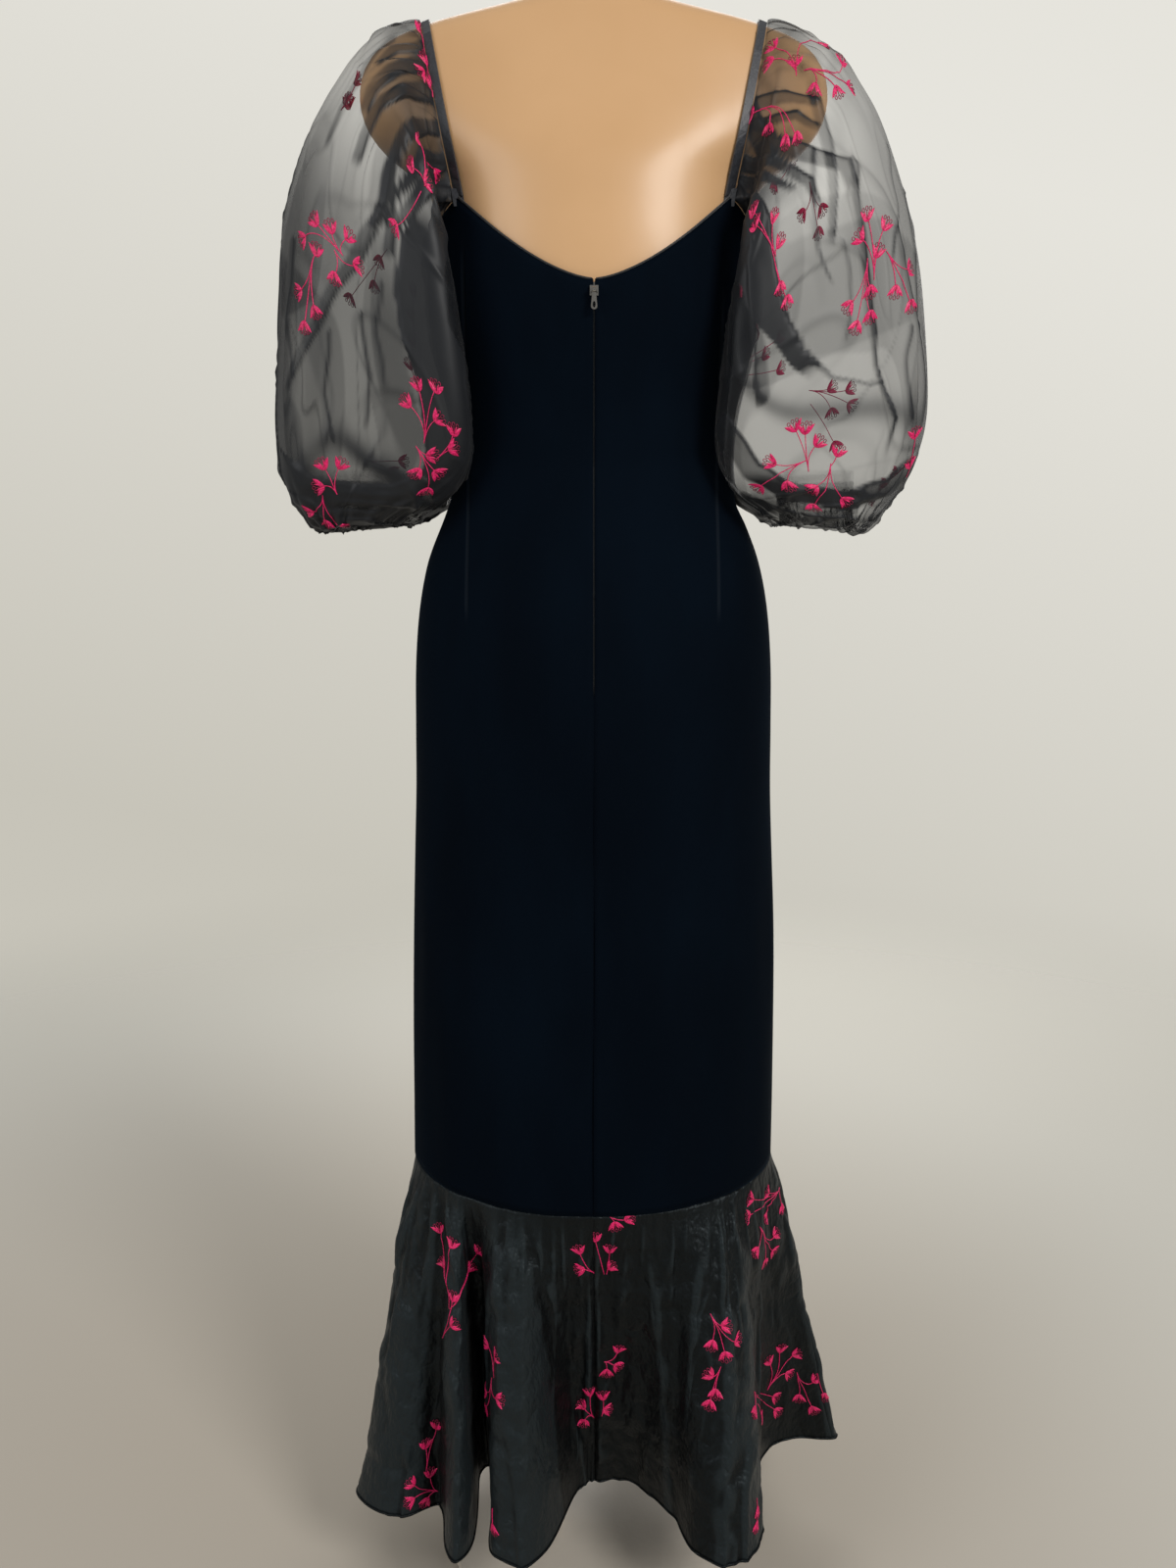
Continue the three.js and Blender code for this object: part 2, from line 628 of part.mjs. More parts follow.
function cylinderX(radius, length, y, z, sides) {
  const matrix = new THREE.Matrix4().makeRotationZ(quarter).setPosition(0, y, z);
  return solidOf(new THREE.CylinderGeometry(radius, radius, length, sides), matrix);
}

function zipSlider() {
  const lugX = slider.lugGap / 2 + slider.lug / 2;
  const lugDeep = pin.out + pin.radius + 0.5;
  const lugY = sliderY - slider.thick - lugDeep / 2 + 0.2;
  const neckDeep = teethY - sliderY;
  return box(slider.wide, slider.thick, slider.tall, 0, sliderY - slider.thick / 2, slider.z)
    .add(box(slider.neckWide, neckDeep + 0.2, slider.neckTall, 0, sliderY + neckDeep / 2 - 0.1, slider.z))
    .add(box(slider.lug, lugDeep, slider.lugTall, lugX, lugY, slider.z))
    .add(box(slider.lug, lugDeep, slider.lugTall, -lugX, lugY, slider.z))
    .add(cylinderX(pin.radius, slider.lugGap + slider.lug, pinY, slider.z, 12));
}

const tab = {
  length: 15.5,
  topWide: 3,
  wide: 5.2,
  thick: 1.2,
  eyeInner: 1.15,
  eyeOuter: 2.2,
  holeWide: 2.4,
  holeTall: 5,
};

// The pull tab hangs from its eye on the slider's pin and widens to a rounded end with a slot.
function zipPull() {
  const outline = new THREE.Shape();
  outline.moveTo(-tab.topWide / 2, -tab.eyeInner - 0.4);
  outline.lineTo(-tab.wide / 2, -tab.length + tab.wide / 2);
  outline.absarc(0, -tab.length + tab.wide / 2, tab.wide / 2, Math.PI, turn, false);
  outline.lineTo(tab.topWide / 2, -tab.eyeInner - 0.4);
  outline.closePath();
  const slot = new THREE.Path();
  slot.absellipse(0, -tab.length + tab.holeTall / 2 + 1.4, tab.holeWide / 2, tab.holeTall / 2, 0, turn, true);
  outline.holes.push(slot);
  const settings = { depth: tab.thick, bevelEnabled: false, curveSegments: 8 };
  const upright = new THREE.Matrix4().makeRotationX(quarter);
  upright.setPosition(0, pinY + tab.thick / 2, slider.z);
  const eye = cylinderX(tab.eyeOuter, tab.topWide, pinY, slider.z, 16);
  const bore = cylinderX(tab.eyeInner, tab.topWide + 1, pinY, slider.z, 16);
  return solidOf(new THREE.ExtrudeGeometry(outline, settings), upright).add(eye).subtract(bore);
}

// The torso: rings of its skin, closed flat at the neck and at the base
function torso() {
  const around = 36;
  const heights = torsoRows.map((row) => row.z);
  const positions = [];
  const faces = [];
  heights.forEach((z) => {
    for (let i = 0; i < around; i += 1) {
      const point = skin(torsoAt, z, (i / around) * turn, 0);
      positions.push(...point.toArray());
    }
  });
  for (let j = 0; j < heights.length - 1; j += 1)
    for (let i = 0; i < around; i += 1) {
      const next = (i + 1) % around;
      const [a, b] = [j * around + i, j * around + next];
      faces.push(a, a + around, b + around, a, b + around, b);
    }
  const top = positions.length / 3;
  positions.push(0, 0, heights[0], 0, 0, heights[heights.length - 1]);
  const lastRing = (heights.length - 1) * around;
  for (let i = 0; i < around; i += 1) {
    const next = (i + 1) % around;
    faces.push(top, i, next);
    faces.push(top + 1, lastRing + next, lastRing + i);
  }
  return indexed(positions, faces);
}

function discSolid(radius, height, x, z, segments) {
  const matrix = new THREE.Matrix4().makeRotationX(quarter).setPosition(x, 0, z + height / 2);
  return solidOf(new THREE.CylinderGeometry(radius, radius, height, segments), matrix);
}

function standPlate() {
  return discSolid(plate.radius, plate.thick, 0, 0, 48).add(
    discSolid(hub.radius, hub.height + 1, pole.x, plate.thick - 1, 24),
  );
}

// The pole and the flange that carries the torso are one piece
function standPole() {
  const low = plate.thick + hub.height + seamGap;
  const high = torsoBaseZ - seamGap;
  return discSolid(pole.radius, high - low, pole.x, low, 20).add(
    discSolid(flange.radius, flange.thick, pole.x, high - flange.thick, 24),
  );
}

const dress = new THREE.Group();
sides.forEach(({ name, sign }) => {
  dress.add(
    named(`back_${name}`, backPanel(sign), velvet),
    named(`strap_${name}`, strap(sign), satinBand),
    named(`sleeve_${name}`, sleeve(sign), organza),
    named(`cuff_${name}`, cuff(sign), organza),
  );
});
dress.add(
  named("front", frontPanel(), velvet),
  named("flounce_back_right", flouncePanel(0, 90), taffeta),
  named("flounce_front", flouncePanel(90, 270), taffeta),
  named("flounce_back_left", flouncePanel(270, 360), taffeta),
  named("zip_tape", centreStrip(tapeProfile, zipBottomZ, slider.z + 2.8, 22), zipCloth),
  named("hook_and_eye", centreStrip(hookProfile, backNeckZ - 6, backNeckZ - 2, 1), metal),
  named("zip_slider", geometryOf(zipSlider()), metal),
  named("zip_pull", geometryOf(zipPull()), metal),
);

const stand = new THREE.Group();
stand.add(
  named("torso", torso(), torsoPlastic),
  named("stand_pole", geometryOf(standPole()), metal),
  named("stand_plate", geometryOf(standPlate()), platePaint),
);

const part = new THREE.Group();
part.add(dress, stand);
export default part;
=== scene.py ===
import math

import bpy
import numpy as np
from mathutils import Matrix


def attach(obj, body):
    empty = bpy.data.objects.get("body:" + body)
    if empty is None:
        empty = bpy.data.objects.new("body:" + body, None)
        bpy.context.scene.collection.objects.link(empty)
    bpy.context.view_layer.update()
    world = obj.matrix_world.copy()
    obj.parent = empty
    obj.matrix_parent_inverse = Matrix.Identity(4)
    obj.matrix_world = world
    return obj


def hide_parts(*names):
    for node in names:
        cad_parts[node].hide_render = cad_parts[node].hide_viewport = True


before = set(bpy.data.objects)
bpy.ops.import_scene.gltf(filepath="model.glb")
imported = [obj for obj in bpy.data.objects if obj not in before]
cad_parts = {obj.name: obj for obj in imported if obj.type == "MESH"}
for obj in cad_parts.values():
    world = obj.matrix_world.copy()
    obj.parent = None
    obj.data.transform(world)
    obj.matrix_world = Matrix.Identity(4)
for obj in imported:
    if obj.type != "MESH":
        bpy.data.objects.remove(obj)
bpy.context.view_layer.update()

MM = 0.001
TURN = 2 * math.pi

# Sizes of the dress, in millimetres
EASE = 3.0
VELVET = 2.0
NECK_HALF = 146
CORNER_X = 114
CORNER_Z = 1309
BACK_NECK_Z = 1236
FRONT_NECK_Z = 1262
NECK_CURVE = 1.6
UNDERARM_Z = 1262
STRAP_TOP = (143, 1460)
STRAP_WIDE = 7
STRAP_CENTRE_Z = 1352
SEAM_SIDE_Z = 428.6
SEAM_TILT = 20
HEM_Z = 99
WAIST_Z = 1100
HIP_Z = 860
ZIP_BOTTOM_Z = 893
ZIP_TOP_Z = 1222
ZIP_EDGE = 0.95
ZIP_GAP_HALF = 1.6
COIL_PITCH = 1.55
SHOULDER_Z = 1322
SLEEVE_CLEAR = 5.2
SEAM_BLEND = 0.2
SLEEVE_LAP = (36, 12)
SLEEVE_SQUARENESS = 2.7
# How far the head of the left and of the right sleeve sinks inward, and where down the sleeve
SLACK = {-1: (17.0, 0.19), 1: (12.0, 0.16)}

# The torso, and the dress where it hangs free: z, half width, depth to the back, depth to the front
TORSO_ROWS = [
    (1530, 50, 50, 48), (1502, 52, 51, 50), (1487, 58, 52, 54), (1478, 70, 54, 56),
    (1471, 87, 55, 58), (1465, 118, 57, 59), (1457, 155, 59, 61), (1447, 181, 61, 63),
    (1430, 198, 65, 68), (1405, 204, 71, 76), (1380, 198, 78, 85), (1360, 182, 84, 93),
    (1345, 162, 89, 99), (1328, 145, 93, 105), (1300, 141, 96, 113), (1270, 142, 98, 121),
    (1240, 143, 98, 126), (1205, 140, 95, 124), (1170, 131, 89, 113), (1135, 123, 83, 102),
    (1095, 120, 80, 96), (1065, 125, 84, 97), (1035, 137, 92, 99), (1005, 148, 102, 101),
    (965, 156, 113, 103), (915, 160.5, 119, 103), (855, 162, 119, 101), (800, 160, 112, 98),
    (760, 155, 104, 93), (738, 145, 94, 84), (726, 118, 72, 64),
]
HANGING_ROWS = [
    (800, 166, 119, 104), (740, 168.5, 112, 103), (660, 171.5, 107, 102),
    (560, 174.5, 104, 100), (470, 175.8, 103, 99), (380, 176, 103, 98),
]
BUST = {"reach": 10, "z": 1228, "tall": 62, "apex": 66, "fade": 36}

# The left sleeve at even steps from its armhole to inside its cuff: outer x and z, inner x and z, depth on
# the near and the far side, how high its big folds are, and how much wider the right sleeve is
SLEEVE_ROWS = [
    (150, 1463, 152, 1268, 62, 70, 0, 0), (166, 1467, 160, 1272, 84, 88, 1, 0),
    (188, 1457, 156, 1262, 96, 98, 3, 0), (211, 1433, 146, 1238, 102, 103, 5, 3),
    (233, 1396, 134, 1206, 105, 105, 6, 5), (253, 1350, 126, 1172, 106, 104, 6, 4),
    (267, 1296, 120, 1144, 104, 102, 6, 8), (271, 1236, 117, 1118, 101, 99, 6, 17),
    (274, 1176, 118, 1098, 96, 94, 5, 22), (277, 1122, 124, 1079, 89, 87, 4, 19),
    (273, 1080, 136, 1062, 78, 76, 3, 10), (262, 1052, 154, 1050, 63, 62, 1, 2),
    (249, 1037, 167, 1043, 50, 50, 0, 0), (240, 1041, 173, 1049, 42, 42, 0, 0),
    (237, 1062, 171, 1063, 37, 37, 0, 0), (237, 1079, 169, 1079, 35, 35, 0, 0),
]

# The flounce's main folds on the back: degrees at the seam and at the hem, where down the cloth they start,
# how far they stand out in millimetres and half their width in degrees
FLOUNCE_FOLDS = [
    (339, 334, 0.10, 4.5, 2.6), (363, 352, 0.18, 5.0, 2.3), (16, 20, 0.04, 4.0, 2.2),
    (46, 41, 0.08, 4.0, 2.6), (350, 345, 0.22, -4.5, 2.2), (27, 27, 0.08, -4.0, 2.6),
    (9, 6, 0.30, -2.5, 2.0), (321, 317, 0.05, -4.0, 2.0), (305, 300, 0.10, 3.5, 2.4),
    (58, 56, 0.10, -3.5, 2.6), (330, 327, 0.02, 3.0, 1.8),
]

# Degrees round the seam from the centre back, and the x and y that this line of the flounce has at the hem
HEM_POINTS = [
    (0, 2, -61), (12, 38, -63), (24, 77, -108), (33, 90, -149), (42, 122, -167), (50, 154, -150),
    (58, 165, -88), (68, 172, -18), (80, 214, 1), (92, 251, 2), (100, 244, 30), (112, 194, 62),
    (130, 160, 160), (146, 112, 92), (168, 48, 168), (186, -10, 88), (208, -88, 164), (226, -134, 88),
    (246, -214, 112), (264, -190, 12), (277, -218, -36), (284, -233, -74), (290, -210, -99),
    (297, -176, -107), (305, -147, -97), (309, -138, -150), (312, -127, -168), (314.5, -116, -142),
    (317.5, -117, -56), (321, -103, -52), (325, -99, -110), (329, -91, -156), (334, -66, -168),
    (339, -41, -146), (345, -21, -88), (352, -10, -66),
]


class Curve:
    """Smooth values through the rows of a table. The first column is the place along it."""

    def __init__(self, rows, period=0.0):
        rows = np.array(sorted(rows), float)
        self.period = period
        self.start = rows[0, 0]
        if period:
            before, after = rows[-1].copy(), rows[0].copy()
            before[0] -= period
            after[0] += period
            rows = np.vstack([before, rows, after])
        slopes = np.empty_like(rows)
        slopes[1:-1] = (rows[2:] - rows[:-2]) / (rows[2:, :1] - rows[:-2, :1])
        slopes[0] = (rows[1] - rows[0]) / (rows[1, 0] - rows[0, 0])
        slopes[-1] = (rows[-1] - rows[-2]) / (rows[-1, 0] - rows[-2, 0])
        if period:
            slopes[0], slopes[-1] = slopes[-2].copy(), slopes[1].copy()
        self.rows, self.slopes = rows, slopes

    def __call__(self, place, column):
        x = np.asarray(place, float)
        if self.period:
            x = (x - self.start) % self.period + self.start
        keys = self.rows[:, 0]
        i = np.clip(np.searchsorted(keys, x, side="right") - 1, 0, len(keys) - 2)
        span = keys[i + 1] - keys[i]
        t = np.clip((x - keys[i]) / span, 0, 1)
        a, b = self.rows[i, column], self.rows[i + 1, column]
        m, n = self.slopes[i, column] * span, self.slopes[i + 1, column] * span
        from_rows = (2 * t**3 - 3 * t**2 + 1) * a + (3 * t**2 - 2 * t**3) * b
        return from_rows + (t**3 - 2 * t**2 + t) * m + (t**3 - t**2) * n


def smooth(x):
    x = np.clip(x, 0, 1)
    return x * x * (3 - 2 * x)


def mix(a, b, t):
    return a + (b - a) * t


def unevenness(x, y, seed, period=0):
    """Soft random values from -1 to 1 over a plane, which can repeat along x."""
    grid = np.random.RandomState(seed).uniform(-1, 1, (97, 97))
    xi, yi = np.floor(x).astype(int), np.floor(y).astype(int)
    fx, fy = smooth(x - xi), smooth(y - yi)
    wrap = period or 97
    x0, x1, y0, y1 = xi % wrap % 97, (xi + 1) % wrap % 97, yi % 97, (yi + 1) % 97
    return mix(mix(grid[x0, y0], grid[x1, y0], fx), mix(grid[x0, y1], grid[x1, y1], fx), fy)


def creases(x, y, seed, period=0, width=0.1):
    """Narrow crests, 1 high, that wander over a plane as they do in crisp cloth"""
    return np.exp(-((unevenness(x, y, seed, period) / width) ** 2))


torso_curve = Curve(TORSO_ROWS)
close_fit = [(z, h + EASE, b + EASE, f + EASE) for z, h, b, f in TORSO_ROWS if 855 <= z <= 1345]
dress_curve = Curve(close_fit + HANGING_ROWS)
sleeve_curve = Curve([(i / (len(SLEEVE_ROWS) - 1), *row) for i, row in enumerate(SLEEVE_ROWS)])
hem_curve = Curve(HEM_POINTS, 360)


def bust_reach(x, z):
    beyond = np.maximum(np.abs(x) - BUST["apex"], 0) / BUST["fade"]
    above = (z - BUST["z"]) / BUST["tall"]
    return BUST["reach"] * np.exp(-(beyond**2) - above**2)


def skin(curve, z, angle, offset):
    """A point of a body's skin. angle is 0 at the centre back and grows towards +X."""
    x = (curve(z, 1) + offset) * np.sin(angle)
    to_back = np.cos(angle) > 0
    depth = np.where(to_back, curve(z, 2), curve(z, 3)) + offset
    reach = np.where(to_back, 0, bust_reach(x, z) * np.minimum(1, -4 * np.cos(angle)))
    return np.stack(np.broadcast_arrays(x, reach - depth * np.cos(angle), z), -1)


def share_out(curve, p, offset):
    """How far out a point lies, as a share of the body's section at its height."""
    x, y, z = p[..., 0], p[..., 1], p[..., 2]
    depth = np.where(y < 0, curve(z, 2), curve(z, 3)) + offset
    y = np.where(y > 0, np.maximum(y - bust_reach(x, z), 0), y)
    return np.hypot(x / (curve(z, 1) + offset), y / depth)


def top_edge_z(angle):
    from_centre = np.arcsin(np.minimum(np.abs(np.sin(angle)), 1))
    corner = math.asin(CORNER_X / NECK_HALF)
    lowest = np.where(np.cos(angle) > 0, BACK_NECK_Z, FRONT_NECK_Z)
    to_corner = np.clip(np.sin(from_centre) * NECK_HALF / CORNER_X, 0, 1)
    scoop = mix(lowest, CORNER_Z, to_corner**NECK_CURVE)
    beyond = np.clip((from_centre - corner) / (math.pi / 2 - corner), 0, 1)
    return np.where(from_centre < corner, scoop, mix(CORNER_Z, UNDERARM_Z, beyond**1.2))


def seam_z(angle):
    return SEAM_SIDE_Z - SEAM_TILT * np.cos(angle)


# Grids of points, and the meshes made from them
def across(points, wraps):
    """Change of position from one column to the next"""
    if wraps:
        return (np.roll(points, -1, 1) - np.roll(points, 1, 1)) / 2
    return np.gradient(points, axis=1)


def normals_of(points, wraps):
    n = np.cross(np.gradient(points, axis=0), across(points, wraps))
    return n / np.maximum(np.linalg.norm(n, axis=-1, keepdims=True), 1e-9)


def mesh_object(name, points, faces, material, uv=None):
    mesh = bpy.data.meshes.new(name)
    mesh.from_pydata((np.asarray(points).reshape(-1, 3) * MM).tolist(), [], faces)
    if uv is not None:
        layer = mesh.uv_layers.new(name="cloth")
        corners = np.empty(len(mesh.loops), np.int32)
        mesh.loops.foreach_get("vertex_index", corners)
        layer.data.foreach_set("uv", uv.reshape(-1, 2)[corners].ravel())
    mesh.shade_smooth()
    mesh.materials.append(material)
    obj = bpy.data.objects.new(name, mesh)
    bpy.context.scene.collection.objects.link(obj)
    return obj


def grid_faces(rows, columns, wraps):
    last = columns if wraps else columns - 1
    row, i = np.mgrid[0 : rows - 1, 0:last]
    top, bottom, k = row * columns, (row + 1) * columns, (i + 1) % columns
    return np.stack([top + i, bottom + i, bottom + k, top + k], -1).reshape(-1, 4)


class Cloth:
    """A piece of cloth as a grid of points, rows running down it. Its outside is where its normals point."""

    def __init__(self, name, points, wraps, outward=1, folds_and_painted_light=None):
        self.name, self.points, self.wraps = name, points, wraps
        self.normals = normals_of(points, wraps) * outward
        self.outward = outward
        self.folds_and_painted_light = folds_and_painted_light

    def shape(self, material, thickness=0):
        rows, columns = self.points.shape[:2]
        faces = grid_faces(rows, columns, self.wraps)
        if self.outward < 0:
            faces = faces[:, ::-1]
        uv = np.stack(np.broadcast_arrays(np.arange(columns) / columns, np.arange(rows)[:, None] / rows), -1)
        obj = mesh_object(self.name, self.points, faces.tolist(), material, uv)
        # Per point: on a sleeve, how much cloth lies double, with the left sleeve's painted shade; on the
        # flounce, the ridge measure behind its painted highlight and shade
        if self.folds_and_painted_light is not None:
            layer = obj.data.attributes.new("folds_and_painted_light", "FLOAT", "POINT")
            layer.data.foreach_set("value", self.folds_and_painted_light.astype(np.float32).ravel())
        if thickness:
            solid = obj.modifiers.new("thickness", "SOLIDIFY")
            solid.thickness = thickness * MM
            solid.offset = -1
        return obj

    def nearest(self, x, z, far=False):
        """Row and column of the cloth at x and z, seen from the back, or of its far side"""
        toward = self.normals[..., 1] * (-1 if far else 1)
        distance = np.hypot(self.points[..., 0] - x, self.points[..., 2] - z)
        distance = distance + np.where(toward < -0.1, 0, 1e4) + self.points[..., 1] * (0 if far else 0.03)
        return np.array(np.unravel_index(np.argmin(distance), distance.shape), float)

    def step(self, start, end):
        """Rows and columns from one place of the grid to another, the short way round"""
        rows, columns = end - start
        if self.wraps:
            half = self.points.shape[1] / 2
            columns = (columns + half) % (2 * half) - half
        return np.array([rows, columns])

    def sample(self, row, column):
        rows, columns = self.points.shape[:2]
        row = np.clip(row, 0, rows - 1.001)
        column = column % columns if self.wraps else np.clip(column, 0, columns - 1.001)
        r, c = np.floor(row).astype(int), np.floor(column).astype(int)
        fr, fc = (row - r)[..., None], (column - c)[..., None]
        d = (c + 1) % columns

        def at(a):
            return mix(mix(a[r, c], a[r, d], fc), mix(a[r + 1, c], a[r + 1, d], fc), fr)

        return at(self.points), at(self.normals)

    def lay(self, anchor, a, b, lift):
        """Points of the cloth, a to the right of the anchor and b above it along the cloth, and lifted"""
        row, column = anchor
        reach = 90  # steps of the grid, more than a flower spans
        steps = np.arange(-reach, reach + 1)
        line, _ = self.sample(np.full(len(steps), float(row)), column + steps.astype(float))
        away = np.concatenate([[0], np.cumsum(np.linalg.norm(np.diff(line, axis=0), axis=1))])
        heading = np.sign(line[-1, 0] - line[0, 0]) if abs(line[-1, 0] - line[0, 0]) > 1 else 1
        columns = column + np.interp(a * heading, away - away[reach], steps)
        rows = np.clip(row + steps, 0, self.points.shape[0] - 1.001)
        line, _ = self.sample(rows.astype(float), np.full(len(steps), float(column)))
        down = np.concatenate([[0], np.cumsum(np.linalg.norm(np.diff(line, axis=0), axis=1) + 1e-6)])
        point, normal = self.sample(np.interp(-b, down - down[reach], rows), columns)
        return point + normal * np.asarray(lift)[..., None], normal


# Shaders
class Value:
    """A number or colour of a shader that sums and products can be made of"""

    def __init__(self, net, socket):
        self.net, self.socket = net, socket

    def _maths(self, operation, *others):
        inputs = dict(enumerate([self, *others]))
        return self.net.node("ShaderNodeMath", {"operation": operation}, inputs).out()

    def __add__(self, other):
        return self._maths("ADD", other)

    __radd__ = __add__

    def __sub__(self, other):
        return self._maths("SUBTRACT", other)

    def __rsub__(self, other):
        return self.net.number(other) - self

    def __mul__(self, other):
        return self._maths("MULTIPLY", other)

    __rmul__ = __mul__

    def __pow__(self, other):
        return self._maths("POWER", other)

    def __abs__(self):
        return self._maths("ABSOLUTE")

    def rise(self, low, high):
        """0 below low, 1 above high and smooth between"""
        inputs = {"Value": self, "From Min": low, "From Max": high}
        return self.net.node("ShaderNodeMapRange", {"interpolation_type": "SMOOTHSTEP"}, inputs).out("Result")


class Made:
    """A shader node and its outputs as values"""

    def __init__(self, net, node):
        self.net, self.node = net, node

    def out(self, name=0):
        return Value(self.net, self.node.outputs[name])


class Finish:
    """A material and the nodes that give it its finish"""

    def __init__(self, name):
        self.material = bpy.data.materials.new(name)
        self.material.use_nodes = True
        self.tree = self.material.node_tree
        self.shader = self.tree.nodes["Principled BSDF"]

    def node(self, kind, settings=None, inputs=None):
        made = self.tree.nodes.new(kind)
        for key, value in (settings or {}).items():
            setattr(made, key, value)
        for key, value in (inputs or {}).items():
            self.feed(made.inputs[key], value)
        return Made(self, made)

    def feed(self, socket, value):
        if isinstance(value, Value):
            self.tree.links.new(value.socket, socket)
        else:
            socket.default_value = value

    def number(self, value):
        return self.node("ShaderNodeMath", {"operation": "ADD"}, {0: value, 1: 0.0}).out()

    def blend(self, factor, one, two):
        made = self.node("ShaderNodeMix", {"data_type": "RGBA"})
        sockets = made.node.inputs
        for socket, value in ((sockets[0], factor), (sockets[6], one), (sockets[7], two)):
            self.feed(socket, value)
        return made.out(2)

    def coordinates(self):
        return self.node("ShaderNodeTexCoord").out("Object")

    def axes(self):
        parts = self.node("ShaderNodeSeparateXYZ", {}, {0: self.coordinates()})
        return parts.out("X"), parts.out("Y"), parts.out("Z")

    def stretched(self, *scale):
        return self.node("ShaderNodeMapping", {}, {"Vector": self.coordinates(), "Scale": scale}).out()

    def noise(self, scale, detail, where=None, roughness=0.5):
        inputs = {"Scale": scale, "Detail": detail, "Roughness": roughness}
        inputs["Vector"] = where or self.coordinates()
        return self.node("ShaderNodeTexNoise", {}, inputs).out("Fac")

    def attribute(self, name):
        return self.node("ShaderNodeAttribute", {"attribute_name": name}).out("Fac")

    def bump(self, height, distance, strength):
        inputs = {"Strength": strength, "Distance": distance, "Height": height}
        return self.node("ShaderNodeBump", {}, inputs).out()

    def set(self, **values):
        for name, value in values.items():
            self.feed(self.shader.inputs[name.replace("_", " ")], value)

    def show_through(self, cover):
        """Mixes the finish with clear: cover is 1 where nothing shows through"""
        clear = self.node("ShaderNodeBsdfTransparent", {}, {"Color": (1, 1, 1, 1)})
        both = self.node("ShaderNodeMixShader", {}, {0: cover})
        self.tree.links.new(clear.node.outputs[0], both.node.inputs[1])
        self.tree.links.new(self.shader.outputs[0], both.node.inputs[2])
        self.tree.links.new(both.node.outputs[0], self.tree.nodes["Material Output"].inputs["Surface"])


def dart_line(x, z, centre, top):
    """1 on the seam of a back dart that ends at the height top, in metres"""
    beside = 1.0 - abs(x - centre).rise(0.0008, 0.0022)
    return beside * z.rise(0.952, 0.975) * (1.0 - z.rise(top - 0.04, top))


def velvet_finish():
    f = Finish("velvet")
    x, y, z = f.axes()
    nap = f.noise(9.0, 4.0, f.stretched(1.0, 1.0, 0.35))
    fibres = f.noise(900.0, 2.0)
    stroke = nap.rise(0.35, 0.7)
    back = (y * -1.0).rise(-0.01, 0.01)
    dart = (dart_line(x, z, -0.1105, 1.28) + dart_line(x - z * 0.004, z, 0.1045, 1.24)) * back
    pile = f.blend(stroke, (0.0010, 0.0028, 0.0060, 1), (0.0018, 0.0046, 0.0094, 1))
    f.set(Base_Color=f.blend(dart * 0.6, pile, (0.010, 0.014, 0.020, 1)), Roughness=0.78 + stroke * 0.12)
    f.set(Normal=f.bump(nap * 0.5 + fibres * 0.12 - dart * 0.7, 0.0011, 0.6))
    f.set(Sheen_Weight=0.03, Sheen_Roughness=0.35, Sheen_Tint=(0.15, 0.33, 0.55, 1), Specular_IOR_Level=0.03)
    return f.material


def flounce_finish():
    """Crisp black cloth. Its base colour has painted highlight on the ridges and painted shade in the
    hollows, mixed with random slub tone; the mesh says how far each point stands on a ridge.
    """
    f = Finish("flounce")
    slub = f.noise(5.0, 5.0, f.stretched(5.0, 5.0, 0.8), 0.6)
    crush = f.noise(26.0, 4.0, f.stretched(1.0, 1.0, 0.6), 0.55)
    # Painted light: the base colour is lighter on the flounce's ridges and darker in its hollows, with random
    # slub mixed in
    painted_ridge_light_and_slub = (f.attribute("folds_and_painted_light") * 0.75 + slub * 0.30).rise(0.45, 0.78)
    f.set(Base_Color=f.blend(painted_ridge_light_and_slub, (0.0004, 0.0007, 0.0010, 1), (0.0100, 0.0138, 0.0156, 1)))
    f.set(Roughness=0.40 + crush * 0.14)
    f.set(Normal=f.bump(slub * 0.10 + abs(crush - 0.5) * 2.2, 0.0060, 0.9))
    f.set(Sheen_Weight=0.02, Specular_Tint=(0.80, 0.94, 1.0, 1), Specular_IOR_Level=0.26)
    return f.material


def organza_finish(name="organza", strength=0.075, edge_on=0.42):
    """Sheer cloth: part of the light passes between its threads, less where the cloth lies double or is seen
    edge on, and less where the mesh holds painted shade.
    """
    f = Finish(name)
    uneven = f.noise(14.0, 4.0, f.stretched(1.0, 1.0, 0.5))
    f.set(Base_Color=f.blend(uneven, (0.008, 0.009, 0.011, 1), (0.020, 0.022, 0.026, 1)))
    f.set(Roughness=0.42 + uneven * 0.1, Normal=f.bump(uneven, 0.0010, 0.3))
    f.set(Specular_IOR_Level=0.26, Sheen_Weight=0.03)
    edge = f.node("ShaderNodeLayerWeight", {}, {"Blend": 0.30}).out("Facing")
    f.show_through(strength * (0.75 + uneven * 0.5) + f.attribute("folds_and_painted_light") * 0.29 + edge * edge_on)
    return f.material


def satin_finish(name, dark, light, roughness, sheen=0.3):
    f = Finish(name)
    thread = f.noise(700.0, 2.0)
    f.set(Base_Color=f.blend(thread.rise(0.35, 0.65), (*dark, 1), (*light, 1)), Roughness=roughness)
    f.set(Normal=f.bump(thread, 0.0004, 0.6), Sheen_Weight=sheen, Specular_IOR_Level=0.5)
    return f.material


